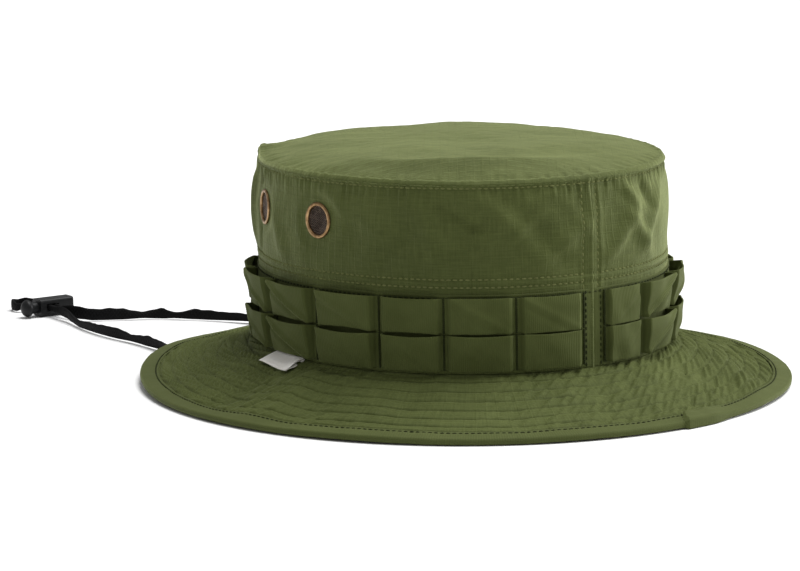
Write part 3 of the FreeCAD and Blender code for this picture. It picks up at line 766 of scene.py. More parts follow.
def lathe(name, section, spot, columns=48):
    """A ring turned from (radius, out) points of a closed section round a vent's middle."""
    middle, out, up, across = spot
    mesh = bpy.data.meshes.new(name)
    turns = [TAU * column / columns for column in range(columns)]
    with editing(mesh) as bm:
        rings = [
            [
                bm.verts.new(middle + out * far + (across * math.cos(turn) + up * math.sin(turn)) * radius)
                for turn in turns
            ]
            for radius, far in section
        ]
        for ring, other in zip(rings, rings[1:] + rings[:1]):
            for column in range(columns):
                after = (column + 1) % columns
                bm.faces.new((ring[column], other[column], other[after], ring[after]))
        bmesh.ops.recalc_face_normals(bm, faces=bm.faces)
        for face in bm.faces:
            face.smooth = True
    return stand(name, mesh)


def eyelet_section():
    """The rolled rim of a pressed brass eyelet."""
    rim, middle = [], (EYELET_OUTER + EYELET_INNER) / 2
    half = (EYELET_OUTER - EYELET_INNER) / 2
    for step in range(15):
        turn = math.pi * step / 14
        rim.append((middle + half * math.cos(turn), 0.15 * MM + 0.75 * MM * math.sin(turn) ** 0.8))
    wall = [(EYELET_INNER - 0.1 * MM, -0.9 * MM), (EYELET_INNER + 0.25 * MM, -0.9 * MM)]
    under = [(EYELET_INNER + 0.25 * MM, 0.0), (EYELET_OUTER - 0.15 * MM, -0.25 * MM)]
    return rim + wall + under


def add_node(tree, kind, inputs=(), **settings):
    """A new node with its settings; its inputs are given by name or number, as values or as sockets to link."""
    node = tree.nodes.new(kind)
    for name, value in settings.items():
        setattr(node, name, value)
    for name, value in dict(inputs).items():
        if isinstance(value, bpy.types.NodeSocket):
            tree.links.new(value, node.inputs[name])
        else:
            node.inputs[name].default_value = value
    return node


def growth_tree(name, **sizes):
    """A geometry node tree with one geometry in and out and the sizes given, and its input's sockets."""
    tree = bpy.data.node_groups.new(name, "GeometryNodeTree")
    for way in ("INPUT", "OUTPUT"):
        tree.interface.new_socket("Geometry", in_out=way, socket_type="NodeSocketGeometry")
    for label, size in sizes.items():
        kind = "NodeSocketInt" if isinstance(size, int) else "NodeSocketFloat"
        socket = tree.interface.new_socket(label.replace("_", " "), in_out="INPUT", socket_type=kind)
        socket.default_value = size
    return tree, tree.nodes.new("NodeGroupInput").outputs


def finish_tree(tree, geometry, material):
    """The last nodes of a tree: plain geometry in its material."""
    real = add_node(tree, "GeometryNodeRealizeInstances", {"Geometry": geometry})
    inputs = {"Geometry": real.outputs["Geometry"], "Material": material}
    finish = add_node(tree, "GeometryNodeSetMaterial", inputs)
    add_node(tree, "NodeGroupOutput", {"Geometry": finish.outputs["Geometry"]})
    return tree


def mesh_wire_tree(material):
    """Round wires along the paths of a woven disc."""
    tree, given = growth_tree("woven_vent_mesh", Wire_radius=WIRE_THICK / 2)
    ring = add_node(tree, "GeometryNodeCurvePrimitiveCircle", {"Resolution": 6, "Radius": given["Wire radius"]})
    curve = add_node(tree, "GeometryNodeMeshToCurve", {"Mesh": given["Geometry"]})
    sweep = add_node(
        tree, "GeometryNodeCurveToMesh",
        {"Curve": curve.outputs["Curve"], "Profile Curve": ring.outputs["Curve"]},
    )
    rounded = add_node(tree, "GeometryNodeSetShadeSmooth", {"Geometry": sweep.outputs["Mesh"]})
    return finish_tree(tree, rounded.outputs["Geometry"], material)


def grown(name, source_mesh, tree, inputs=()):
    """The plain mesh that a node tree makes from a source mesh."""
    source = stand(name, source_mesh)
    modifier = source.modifiers.new("growth", "NODES")
    modifier.node_group = tree
    sockets = {item.name: item.identifier for item in tree.interface.items_tree if item.in_out == "INPUT"}
    for label, value in inputs:
        modifier[sockets[label]] = value
    bpy.context.view_layer.update()
    evaluated = source.evaluated_get(bpy.context.evaluated_depsgraph_get())
    made = bpy.data.meshes.new_from_object(evaluated)
    made.name = name
    bpy.data.objects.remove(source)
    return stand(name, made)


def wire_paths(spot):
    """Polylines for a disc of woven wire in a vent's plane, its two ways lying on the slant."""
    middle, out, up, across = spot
    limit = EYELET_INNER + 0.1 * MM
    count = int(limit / WIRE_PITCH)
    places, edges = [], []
    for way in (0, 1):
        slant = radians(WIRE_SLANT_DEG + 90 * way)
        run = across * math.cos(slant) + up * math.sin(slant)
        aside = out.cross(run)
        for line in range(-count, count + 1):
            off = line * WIRE_PITCH
            half = math.sqrt(max(0.0, limit**2 - off**2))
            steps = max(2, int(2 * half / (WIRE_PITCH / 2)))
            for step in range(steps + 1):
                along = -half + 2 * half * step / steps
                wave = math.cos(math.pi * along / WIRE_PITCH + math.pi * (line + way))
                if step:
                    edges.append((len(places) - 1, len(places)))
                places.append(middle + run * along + aside * off + out * (wave * WIRE_THICK * 0.5 - WIRE_SINK))
    mesh = bpy.data.meshes.new("wire paths")
    mesh.from_pydata(places, edges, [])
    return mesh


def make_vents(brass, wire):
    tree = mesh_wire_tree(wire)
    for vent, angle, height in VENTS:
        spot = vent_frame(angle, height)
        rim = lathe(f"vent_rim_{vent}", eyelet_section(), spot)
        settle(rim, brass, "antique_brass", f"vent_eyelet_{vent}")
        woven = grown(f"vent_wires_{vent}", wire_paths(spot), tree)
        settle(woven, None, "mesh_wire", f"vent_mesh_{vent}")


# ---- the label, and the pieces inside ----

LABEL_DEG = -2.0
LABEL_SLOPE_DEG = 22
LABEL_WIDTH, LABEL_DEPTH, LABEL_LEAF = 24 * MM, 10.4 * MM, 0.35 * MM
SWEATBAND_ROWS = (0.9, 0.06)
SEAM_TAPE_HALF = 6.0 * MM


def make_label(material):
    """A blank folded cotton tab, sewn into the brim's seam: two leaves that gape at one corner."""
    low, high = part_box("side_label")
    out_x, out_y = oval_outward(LABEL_DEG)
    out = Vector((float(out_x), float(out_y), 0))
    along = Vector((-out.y, out.x, 0))
    base_x = oval_place(LABEL_DEG, 0.9 * MM)[0]
    base = Vector((float(base_x), (Vector(low).y + Vector(high).y) / 2, SEAM_Z + 1.1 * MM))
    slope = radians(LABEL_SLOPE_DEG)
    down = Vector((out.x * math.cos(slope), out.y * math.cos(slope), -math.sin(slope)))
    face = down.cross(along) * -1
    rows, columns = 15, 30
    places, flats = [], []
    shares = [step / rows for step in range(rows + 1)]
    path = [(share, 1) for share in shares] + [(share, -1) for share in reversed(shares)]
    for share, layer in path:
        row, flat_row = [], []
        for column in range(columns + 1):
            side = column / columns - 0.5
            corner = 0.75 * MM * smooth(0.25, 0.5, side) + 0.22 * MM
            gape = corner * math.sin(math.pi * min(0.92, share + 0.08) ** 0.8)
            curl = 0.5 * MM * math.sin(side * 5.0 + 0.6) * share + 0.35 * MM * side * share
            lean = (share * LABEL_DEPTH) * (1 + 0.03 * math.sin(side * 3))
            lifted = face * (curl + layer * (float(gape) + LABEL_LEAF * 0.3))
            place = base + along * (side * LABEL_WIDTH) + down * lean + lifted
            place += face * 0.35 * MM
            row.append(tuple(place))
            flat_row.append((side * LABEL_WIDTH, lean * layer))
        places.append(row)
        flats.append(flat_row)
    piece = grid_piece("blank_side_tab", np.array(places), np.array(flats))
    if outward_score(piece, base + down * LABEL_DEPTH / 2) < 0:
        piece.data.flip_normals()
    thicken(piece, LABEL_LEAF)
    settle(piece, material, "label", "side_label")


def outward_score(piece, middle):
    """Positive where a piece's faces mostly point away from a middle."""
    return sum((face.center - middle).dot(face.normal) * face.area for face in piece.data.polygons)


def closed_strip(name, reach_at, depth_at, low, high, columns, rows):
    """A closed band round the hat between two heights, from its outer face's reach and its depth inwards."""
    angles = np.linspace(0.0, 360.0, columns, endpoint=False)
    angle, height = np.meshgrid(angles, np.linspace(low, high, rows))
    reach = reach_at(angle, height)
    outer = oval_spot(angle, reach, height)
    inner = oval_spot(angle, reach - depth_at(angle, height), height)[::-1]
    places = np.concatenate([outer, inner, outer[:1]])
    tall = np.concatenate([height, height[::-1], height[:1]])
    flat = np.stack([angle_length(np.broadcast_to(angles, tall.shape)), tall], axis=-1)
    piece = grid_piece(name, places, flat, closed=True)
    merge_doubles(piece)
    return piece


def make_sweatband(material):
    """The folded cotton band inside, with a rolled top edge and a groove along each row of stitches."""

    def depth_at(angle, height):
        share = (height - CROWN_BASE_Z) / (SWEAT_TOP_Z - CROWN_BASE_Z)
        roll = 0.35 * MM * bump(share, 0.97, 0.04)
        wave = 0.3 * MM * ripple(angle * 0.12, height * 40, 12.0) * np.sin(math.pi * share)
        grooves = sum(0.3 * MM * bump(share, row, 0.02) for row in SWEATBAND_ROWS)
        return 1.05 * MM + (roll - grooves) + wave * 0.6

    def reach_at(angle, height):
        return -1.08 * MM

    low = CROWN_BASE_Z + 0.05 * MM
    piece = closed_strip("inner_sweatband", reach_at, depth_at, low, SWEAT_TOP_Z, 540, 34)
    settle(piece, material, "sweatband", "sweatband")


def make_seam_tapes(material):
    """The bound tapes over the crown's seams on the inside."""
    low, high = (corner[2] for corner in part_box("crown_top_seam_tape"))

    def reach_at(angle, height):
        return -(CROWN_LEAN * wall_share(height)) - 0.85 * MM

    def depth_at(angle, height):
        share = (height - low) / (high - low)
        puff = 0.35 * MM * np.sin(math.pi * share) + 0.18 * MM * ripple(angle * 0.7, height * 90, 3.0)
        return 0.75 * MM + puff

    ring = closed_strip("top_seam_binding", reach_at, depth_at, low, high, 540, 12)
    settle(ring, material, "tape_green", "crown_top_seam_tape")
    half = length_angle(SEAM_TAPE_HALF)
    for name, middle in (("rear_seam_tape", REAR_DEG), ("front_seam_tape", FRONT_DEG)):
        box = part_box(name)
        angles = np.linspace(middle - half, middle + half, 16)
        angle, height = np.meshgrid(angles, np.linspace(box[0][2], box[1][2], 40))
        puff = 0.25 * MM * np.cos(math.pi / 2 * (angle - middle) / half)
        puff = puff + 0.15 * MM * ripple(angle, height * 110)
        places = oval_spot(angle, -(CROWN_LEAN * wall_share(height)) - 0.95 * MM - puff, height)
        piece = grid_piece(f"{name}_binding", places, np.stack([angle_length(angle), height], axis=-1))
        thicken(piece, 0.6 * MM, offset=0.0)
        settle(piece, material, "tape_green", name)


# ---- the chin cord ----

BRAID_WIDTH = 6.0 * MM
BRAID_THICK = 1.3 * MM
RIGHT_STRAND = [
    (-87.3, 0.0, 17.9), (-87.3, 0.0, 11.5), (-86.2, -8.0, 5.4), (-81.5, -23.0, 2.1), (-74.0, -41.0, 1.6),
    (-62.5, -63.0, 1.6), (-48.0, -88.0, 1.6), (-30.5, -116.7, 1.6), (-13.2, -149.7, 1.6),
    (2.0, -180.5, 1.6), (17.0, -206.2, 1.6), (34.7, -224.6, 1.6), (50.9, -232.6, 1.8), (63.3, -239.7, 3.2),
]
THROUGH_LOCK = [(68.2, -247.5, 4.4), (68.2, -284.4, 4.4)]
END_LOOP = [
    (69.3, -289.7, 3.6), (71.6, -295.2, 2.6), (76.1, -296.0, 1.9), (78.9, -291.7, 1.7), (78.1, -284.7, 2.6),
]
BACK_THROUGH_LOCK = [(71.6, -284.4, 4.4), (71.6, -247.5, 4.4)]
LEFT_STRAND = [
    (73.9, -236.7, 2.6), (77.2, -219.3, 1.6), (78.3, -195.7, 1.6), (75.8, -170.8, 1.6), (75.9, -144.4, 1.6),
    (79.9, -115.7, 1.6), (83.6, -88.0, 1.6), (84.4, -61.0, 1.6), (85.6, -40.0, 1.7), (86.4, -23.0, 2.1),
    (86.6, -8.0, 5.4), (87.3, 0.0, 11.5), (87.3, 0.0, 17.9),
]


def cord_path():
    """Places along the cord, read from the smooth spline that its route points hold."""
    route = RIGHT_STRAND + THROUGH_LOCK + END_LOOP + BACK_THROUGH_LOCK + LEFT_STRAND
    line = bpy.data.curves.new("chin cord line", "CURVE")
    line.dimensions = "3D"
    spline = line.splines.new("NURBS")
    spline.points.add(len(route) - 1)
    for point, place in zip(spline.points, route):
        point.co = (*(size * MM for size in place), 1.0)
    spline.order_u = 3
    spline.use_endpoint_u = True
    spline.resolution_u = 14
    holder = stand("chin cord line", line)
    bpy.context.view_layer.update()
    evaluated = holder.evaluated_get(bpy.context.evaluated_depsgraph_get())
    run = bpy.data.meshes.new_from_object(evaluated)
    places = [Vector(vertex.co) for vertex in run.vertices]
    bpy.data.meshes.remove(run)
    bpy.data.objects.remove(holder)
    even = [places[0]]
    for place in places[1:]:
        if (place - even[-1]).length > 0.9 * MM:
            even.append(place)
    even[-1] = places[-1]
    return even


# How the flat braid stands and how wide it lies, by the share of each strand from the lock to the brim.
TWIST_RIGHT = [
    (0.0, 90, 0.5), (0.022, 88, 0.5), (0.045, 84, 0.95), (0.07, 84, 1.0), (0.135, 84, 0.95), (0.164, 62, 0.55),
    (0.196, 84, 0.9), (0.216, 108, 0.5), (0.25, 82, 0.9), (0.29, 96, 0.75), (0.38, 150, 0.9), (0.48, 178, 1.0),
    (1.0, 180, 1.0),
]
TWIST_LEFT = [
    (0.0, 90, 0.5), (0.028, 88, 0.5), (0.05, 84, 0.85), (0.08, 80, 0.9), (0.131, 84, 0.5), (0.2, 80, 0.8),
    (0.3, 84, 0.95), (0.344, 66, 0.65), (0.392, 84, 0.9), (0.46, 62, 0.9), (0.56, 20, 1.0), (0.7, 0, 1.0),
    (1.0, 0, 1.0),
]


def strand_look(share, table):
    """The braid's tilt in degrees and its spread, at a share of the way from the lock."""
    shares, tilts, spreads = zip(*table)
    return float(np.interp(share, shares, tilts)), float(np.interp(share, shares, spreads))


def drawn_in(ring):
    """A ring of points drawn in to a small hole at its middle."""
    centre = np.mean(np.array(ring), axis=0)
    return [tuple(centre + (np.array(point) - centre) * 0.02) for point in ring]


def make_cord(material):
    path = cord_path()
    gaps = [(b - a).length for a, b in zip(path, path[1:])]
    travelled = np.concatenate([[0.0], np.cumsum(gaps)])
    length = float(travelled[-1])
    lock_low, lock_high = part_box("cord_lock_barrel")
    lock_front, lock_rear = lock_high[1], lock_low[1]
    near_front = [at for at, place in zip(travelled, path) if place.y < lock_front]
    enters, leaves = near_front[0], near_front[-1]
    columns, rows, flats = 16, [], []
    for number, place in enumerate(path):
        before, after = path[max(0, number - 1)], path[min(len(path) - 1, number + 1)]
        ahead = (after - before).normalized()
        level = ahead.cross(Vector((0, 0, 1)))
        if level.length < 0.2:
            level = Vector((0, 1, 0)) if place.x < 0 else Vector((0, -1, 0))
        level = (level - ahead * level.dot(ahead)).normalized()
        at = travelled[number]
        if at < enters:
            tilt, spread = strand_look((enters - at) / enters, TWIST_RIGHT)
        elif at > leaves:
            tilt, spread = strand_look((at - leaves) / (length - leaves), TWIST_LEFT)
        else:
            share = (at - enters) / (leaves - enters)
            tilt = 90.0
            spread = 0.5 + 0.35 * float(smooth(0.3, 0.42, share) * (1 - smooth(0.58, 0.7, share)))
        turn = radians(tilt)
        side = level * math.cos(turn) + ahead.cross(level) * -math.sin(turn)
        face = ahead.cross(side).normalized()
        half_wide = BRAID_WIDTH / 2 * spread * (1 + 0.12 * float(ripple(at * 190, 3.0)))
        half_thick = BRAID_THICK / 2 * (1 / max(spread, 0.45)) ** 0.9
        lowest = half_wide * abs(side.z) + half_thick * abs(face.z)
        middle = place.copy()
        beside_lock = lock_rear - 12 * MM < place.y < lock_front + 8 * MM and place.z > 3.9 * MM
        if place.z < 6 * MM and not beside_lock:
            middle.z = max(place.z, lowest + 0.1 * MM)
        row, flat_row = [], []
        for column in range(columns):
            around = TAU * column / columns
            wide, thick = math.cos(around), math.sin(around)
            shape = abs(wide) ** 0.8 * (1 if wide > 0 else -1)
            edge = abs(thick) ** 0.75 * (1 if thick > 0 else -1)
            row.append(tuple(middle + side * (half_wide * shape) + face * (half_thick * edge)))
            flat_row.append((column / columns * 2 * BRAID_WIDTH, at))
        rows.append(row)
        flats.append(flat_row)
    rows = [drawn_in(rows[0])] + rows + [drawn_in(rows[-1])]
    flats = flats[:1] + flats + flats[-1:]
    piece = grid_piece("chin_cord_braid", np.array(rows), np.array(flats), closed=True)
    close_ends(piece)
    settle(piece, material, "cord_black", "chin_cord")
    return piece


def close_ends(piece):
    """Closes a tube's two ends and turns its faces outwards."""
    with editing(piece.data) as bm:
        bmesh.ops.holes_fill(bm, edges=[edge for edge in bm.edges if edge.is_boundary], sides=0)
        bmesh.ops.recalc_face_normals(bm, faces=bm.faces)


# ---- stitches ----

def stitch_tree(material):
    """Thread stitches at an even pitch along a line, each lying flat on the cloth below it."""
    tree, given = growth_tree(
        "row_of_stitches", Pitch=2.6 * MM, Stitch_length=2.0 * MM, Thread_radius=0.28 * MM, Seed=4
    )
    line = add_node(tree, "GeometryNodeMeshToCurve", {"Mesh": given["Geometry"]})
    inputs = {"Curve": line.outputs["Curve"], "Length": given["Pitch"]}
    spaced = add_node(tree, "GeometryNodeResampleCurve", inputs, mode="LENGTH")
    ball = add_node(tree, "GeometryNodeMeshIcoSphere", {"Radius": 1.0, "Subdivisions": 2})
    half = add_node(tree, "ShaderNodeMath", {0: given["Stitch length"], 1: 0.5}, operation="MULTIPLY")
    vary = add_node(
        tree, "FunctionNodeRandomValue", {"Min": 0.85, "Max": 1.08, "Seed": given["Seed"]}, data_type="FLOAT"
    )
    long_axis = add_node(tree, "ShaderNodeMath", {0: half.outputs[0], 1: vary.outputs[1]}, operation="MULTIPLY")
    radius = given["Thread radius"]
    shape = add_node(tree, "ShaderNodeCombineXYZ", {"X": long_axis.outputs[0], "Y": radius, "Z": radius})
    lie = add_node(tree, "GeometryNodeInputNamedAttribute", {"Name": "lie"}, data_type="FLOAT_VECTOR")
    turn_z = add_node(
        tree, "FunctionNodeAlignRotationToVector", {"Vector": lie.outputs["Attribute"]}, axis="Z"
    )
    along = add_node(tree, "GeometryNodeInputTangent")
    turn_x = add_node(
        tree, "FunctionNodeAlignRotationToVector",
        {"Rotation": turn_z.outputs["Rotation"], "Vector": along.outputs["Tangent"]}, axis="X", pivot_axis="Z",
    )
    place = add_node(
        tree, "GeometryNodeInstanceOnPoints",
        {
            "Points": spaced.outputs["Curve"], "Instance": ball.outputs["Mesh"],
            "Rotation": turn_x.outputs["Rotation"], "Scale": shape.outputs["Vector"],
        },
    )
    return finish_tree(tree, place.outputs["Instances"], material)


def line_mesh(name, runs):
    """Edges along each run of (place, way out), with the way out kept on the points for the stitches."""
    places, lies, edges = [], [], []
    for run, outs, closed in runs:
        start = len(places)
        places.extend(tuple(map(float, place)) for place in run)
        lies.extend(tuple(map(float, out)) for out in outs)
        edges.extend((start + step, start + step + 1) for step in range(len(run) - 1))
        if closed:
            edges.append((start + len(run) - 1, start))
    mesh = bpy.data.meshes.new(name)
    mesh.from_pydata(places, edges, [])
    kept = mesh.attributes.new("lie", "FLOAT_VECTOR", "POINT")
    kept.data.foreach_set("vector", np.array(lies, np.float32).reshape(-1))
    return mesh


def surface_run(place_at, firsts, seconds, closed=False, rise=0.08 * MM):
    """A run along a surface given by two coordinates, with the surface's way out found by small steps."""
    first, second = np.broadcast_arrays(np.asarray(firsts, float), np.asarray(seconds, float))
    here = place_at(first, second)
    over = place_at(first + 0.25, second) - here
    up = place_at(first, second + 0.4 * MM) - here
    out = np.cross(over, up)
    out /= np.linalg.norm(out, axis=-1, keepdims=True)
    return here + out * rise, out, closed


def round_hat(count):
    return np.linspace(0, 360, count, endpoint=False)


def upright_run(place_at, angle, low, high, count):
    """A run of stitches straight up a surface between two heights."""
    return surface_run(place_at, np.full(count, angle), np.linspace(low, high, count))


def crown_stitch_runs():
    top = TOP_SEAM_Z - TOP_STITCH_DROP
    runs = [surface_run(crown_place, round_hat(720), top, True)]
    clear = length_angle(SEAM_STITCH_OUT + 0.4 * MM)
    for row in CROWN_ROWS_ABOVE_BAND:
        for start in (REAR_DEG, FRONT_DEG):
            turned = np.linspace(start + clear, start + 180 - clear, 340)
            runs.append(surface_run(crown_place, turned, BAND_TOP_Z + row))
    for seam in (REAR_DEG, FRONT_DEG):
        for line in SEAM_ROWS:
            runs.append(upright_run(crown_place, seam + length_angle(line), BAND_TOP_Z + 1 * MM, top, 60))
    return runs


def band_stitch_runs():
    top = BAND_TOP_Z - TACK_LINE
    runs = [surface_run(band_place, round_hat(720), top, True)]
    for seam in (REAR_DEG, FRONT_DEG):
        for sign in (-1, 1):
            turned = seam + sign * (SEAM_STRIP_DEG - 1.0)
            runs.append(upright_run(band_place, turned, SEAM_Z + TACK_LINE, top, 30))
    return runs


def tack_place(angle, height):
    return oval_spot(angle, TAPE_BACK + 0.34 * MM, height)


def tack_runs():
    """The upright bar tacks that hold the loops down."""
    return [
        upright_run(tack_place, angle, base + 0.6 * MM, base + TAPE_WIDTH - 0.6 * MM, 40)
        for side in SIDES
        for base in LOOP_ROWS.values()
        for angle in division_angles(side)
    ]


def brim_stitch_runs(place_at, rise):
    """The quilting rows on one face of the brim; a negative rise is for the face below."""
    return [surface_run(place_at, round_hat(900), reach, True, rise) for reach in QUILT_REACHES]


def binding_stitch_runs():
    def place_at(angle, away):
        return oval_spot(angle, away, brim_level(angle, away) + BINDING_CLOTH + 0.12 * MM)

    def lap_place(along, away):
        turned = LAP_DEG + along - (away - BINDING_START) / BINDING_WIDTH * LAP_SLANT_DEG
        return place_at(turned, away) + np.array([0.0, 0.0, 1.0]) * 0.9 * MM * (along > 0)[..., None]

    across = np.linspace(BINDING_START + 0.6 * MM, BRIM_REACH - 2.2 * MM, 30)
    laps = [surface_run(lap_place, np.full(30, turned), across) for turned in (-0.35, 0.9)]
    return [surface_run(place_at, round_hat(900), BINDING_START + BINDING_ROW, True)] + laps


def sweatband_place(angle, height):
    return oval_spot(angle, -2.05 * MM, height)


def sweatband_stitch_runs():
    """The two rows that hold the sweatband, on its inner face."""
    tall = SWEAT_TOP_Z - CROWN_BASE_Z
    heights = (SWEAT_TOP_Z - (1 - SWEATBAND_ROWS[0]) * tall, CROWN_BASE_Z + SWEATBAND_ROWS[1] * tall)
    return [surface_run(sweatband_place, round_hat(720), height, True, rise=-0.12 * MM) for height in heights]


def make_stitches(plain, dark, inside):
    # The dark thread is the olive thread painted darker. It is painted shade that stands for the shadow in the
    # grooves of the band rows, bar tacks, brim quilting rows and binding row.
    top_rows = brim_stitch_runs(brim_top_place, 0.1 * MM)
    under_rows = brim_stitch_runs(brim_under_place, -0.1 * MM)
    # Each row's name, runs and thread, then its pitch, stitch length and thread radius in mm, then its slot.
    rows = (
        ("crown_stitching", crown_stitch_runs(), plain, 2.7, 2.0, 0.42, "fabric_green"),
        ("band_stitching", band_stitch_runs(), dark, 2.6, 1.9, 0.38, "tape_green"),
        ("loop_bar_tacks", tack_runs(), dark, 0.8, 1.15, 0.5, "tape_green"),
        ("brim_quilt_stitching", top_rows, dark, 2.7, 1.9, 0.3, "fabric_green"),
        ("brim_under_stitching", under_rows, plain, 2.8, 1.9, 0.34, "fabric_green"),
        ("brim_binding_stitching", binding_stitch_runs(), dark, 2.6, 1.9, 0.34, "tape_green"),
        ("sweatband_stitching", sweatband_stitch_runs(), inside, 2.8, 2.0, 0.3, "sweatband"),
    )
    tree = stitch_tree(plain)
    for name, runs, material, pitch, length, radius, slot in rows:
        tree.nodes["Set Material"].inputs["Material"].default_value = material
        sizes = (("Pitch", pitch * MM), ("Stitch length", length * MM), ("Thread radius", radius * MM))
        settle(grown(name, line_mesh(name, runs), tree, sizes), None, slot)


# ---- finishes ----

class Finish:
    """A surface built up from procedural nodes."""

    def __init__(self, name, roughness, metal=0.0, sheen=0.0, specular=0.5, sheen_tint=(1, 1, 1)):
        self.material = bpy.data.materials.new(name)
        self.material.use_nodes = True
        self.shader = self.material.node_tree.nodes["Principled BSDF"]
        values = {
            "Roughness": roughness, "Metallic": metal, "Sheen Weight": sheen, "Sheen Roughness": 0.45,
            "Sheen Tint": (*sheen_tint, 1), "Specular IOR Level": specular,
        }
        for label, value in values.items():
            self.shader.inputs[label].default_value = value
        self.coords = add_node(self.material.node_tree, "ShaderNodeTexCoord")

    def node(self, kind, inputs, **settings):
        return add_node(self.material.node_tree, kind, inputs, **settings).outputs

    def place(self, space="Object", scale=(1, 1, 1), turn=0.0):
        source = self.coords.outputs[space]
        inputs = {"Scale": scale, "Rotation": (0, 0, turn), "Vector": source}
        return self.node("ShaderNodeMapping", inputs)["Vector"]

    def cloud(self, vector, scale, detail=3.0, rough=0.55):
        inputs = {"Scale": scale, "Detail": detail, "Roughness": rough, "Vector": vector}
        return self.node("ShaderNodeTexNoise", inputs)["Fac"]

    def bands(self, vector, way, scale, distortion=0.0):
        inputs = {"Scale": scale, "Distortion": distortion, "Detail Scale": 2.0, "Vector": vector}
        return self.node("ShaderNodeTexWave", inputs, bands_direction=way, wave_profile="SIN")["Fac"]

    def sum(self, kind, first, second):
        return self.node("ShaderNodeMath", {0: first, 1: second}, operation=kind)[0]

    def ramp(self, value, stops):
        node = add_node(self.material.node_tree, "ShaderNodeValToRGB", {"Fac": value})
        ramp = node.color_ramp
        while len(ramp.elements) < len(stops):
            ramp.elements.new(0.5)
        for element, (at, colour) in zip(ramp.elements, stops):
            element.position = at
            element.color = (*colour, 1)
        return node.outputs["Color"]

    def spread(self, value, low, high, to_low, to_high):
        inputs = {"From Min": low, "From Max": high, "To Min": to_low, "To Max": to_high, "Value": value}
        return self.node("ShaderNodeMapRange", inputs)["Result"]

    def tint(self, value, low, high):
        return self.ramp(value, ((0.0, low), (1.0, high)))

    def mix(self, factor, first, second):
        first, second = ((*value, 1) if isinstance(value, tuple) else value for value in (first, second))
        return self.node("ShaderNodeMix", {0: factor, 6: first, 7: second}, data_type="RGBA")[2]

    def bump(self, height, distance, strength=1.0, under=None):
        inputs = {"Distance": distance, "Strength": strength, "Height": height}
        if under is not None:
            inputs["Normal"] = under
        return self.node("ShaderNodeBump", inputs)["Normal"]

    def set(self, **outputs):
        for name, output in outputs.items():
            self.material.node_tree.links.new(output, self.shader.inputs[name.replace("_", " ").title()])
        return self.material


# A wave texture's bands come every pi / (10 * scale) metres.
def band_scale(pitch):
    return math.pi / (10 * pitch)


WEAVE_SCALE = band_scale(0.42 * MM)
RIB_SCALE = band_scale(3.6 * MM)
SHEEN_OLIVE = (0.84, 0.93, 0.44)
OLIVE = (0.064, 0.078, 0.021)
OLIVE_DEEP = (0.045, 0.056, 0.014)
OLIVE_PALE = (0.088, 0.105, 0.032)


def ripstop(name, sheen, crease):
    """Light olive cloth with a fine weave, uneven yarns and a small raised grid of stronger threads."""
    finish = Finish(name, 0.6, sheen=sheen, specular=0.08, sheen_tint=SHEEN_OLIVE)
    flat = finish.place("UV")
    weave_a = finish.bands(flat, "X", WEAVE_SCALE, 0.25)
    weave_b = finish.bands(flat, "Y", WEAVE_SCALE, 0.25)
    weave = finish.sum("ADD", weave_a, weave_b)
    rib_a = finish.bands(flat, "X", RIB_SCALE, 0.1)
    rib_b = finish.bands(flat, "Y", RIB_SCALE, 0.1)
    ribs = finish.sum("MAXIMUM", finish.sum("POWER", rib_a, 22.0), finish.sum("POWER", rib_b, 22.0))
    yarn_a = finish.cloud(finish.place("UV", (90, 1500, 1)), 1.0, 3.0)
    yarn_b = finish.cloud(finish.place("UV", (1500, 90, 1)), 1.0, 3.0)
    yarns = finish.sum("ADD", yarn_a, yarn_b)
    cloud = finish.cloud(finish.place(), 26.0, 4.0)
    tone = finish.ramp(cloud, ((0.25, OLIVE_DEEP), (0.55, OLIVE), (0.85, OLIVE_PALE)))
    tone = finish.mix(finish.spread(ribs, 0, 1, 0, 0.1), tone, OLIVE_PALE)
    tone = finish.mix(finish.spread(yarns, 0.75, 1.25, 0.0, 0.55), tone, OLIVE_PALE)
    tone = finish.mix(finish.spread(yarns, 0.75, 1.1, 0.4, 0.0), tone, OLIVE_DEEP)
    height = finish.sum("ADD", finish.sum("MULTIPLY", weave, 0.3), ribs)
    height = finish.sum("ADD", height, yarns)
    first = finish.bump(height, 0.12 * MM, 0.7)
    wrinkle = finish.cloud(finish.place(), 150.0, 4.0)
    second = finish.bump(wrinkle, crease, 0.55, first)
    rough = finish.spread(cloud, 0.2, 0.8, 0.56, 0.7)
    return finish.set(base_color=tone, roughness=rough, normal=second)


def webbing(name, low, high, rib=0.9, depth=0.14):
    """Woven tape with fine cross ribs."""
    finish = Finish(name, 0.7, sheen=0.16, specular=0.1, sheen_tint=SHEEN_OLIVE)
    flat = finish.place("UV")
    ribs = finish.bands(flat, "X", band_scale(rib * MM), 0.35)
    weft = finish.bands(flat, "Y", band_scale(0.45 * MM), 0.3)
    cloud = finish.cloud(finish.place(), 60.0, 4.0)
    mixed = finish.sum("MULTIPLY", ribs, finish.sum("ADD", finish.sum("MULTIPLY", weft, 0.5), 0.5))
    tone = finish.tint(finish.spread(cloud, 0.25, 0.75, 0, 1), low, high)
    tone = finish.mix(finish.spread(mixed, 0, 1, 0.24, 0.0), tone, tuple(value * 0.5 for value in low))
    height = finish.sum("ADD", mixed, finish.sum("MULTIPLY", finish.cloud(finish.place(), 700.0, 2.0), 0.5))
    return finish.set(base_color=tone, normal=finish.bump(height, depth * MM, 0.6))


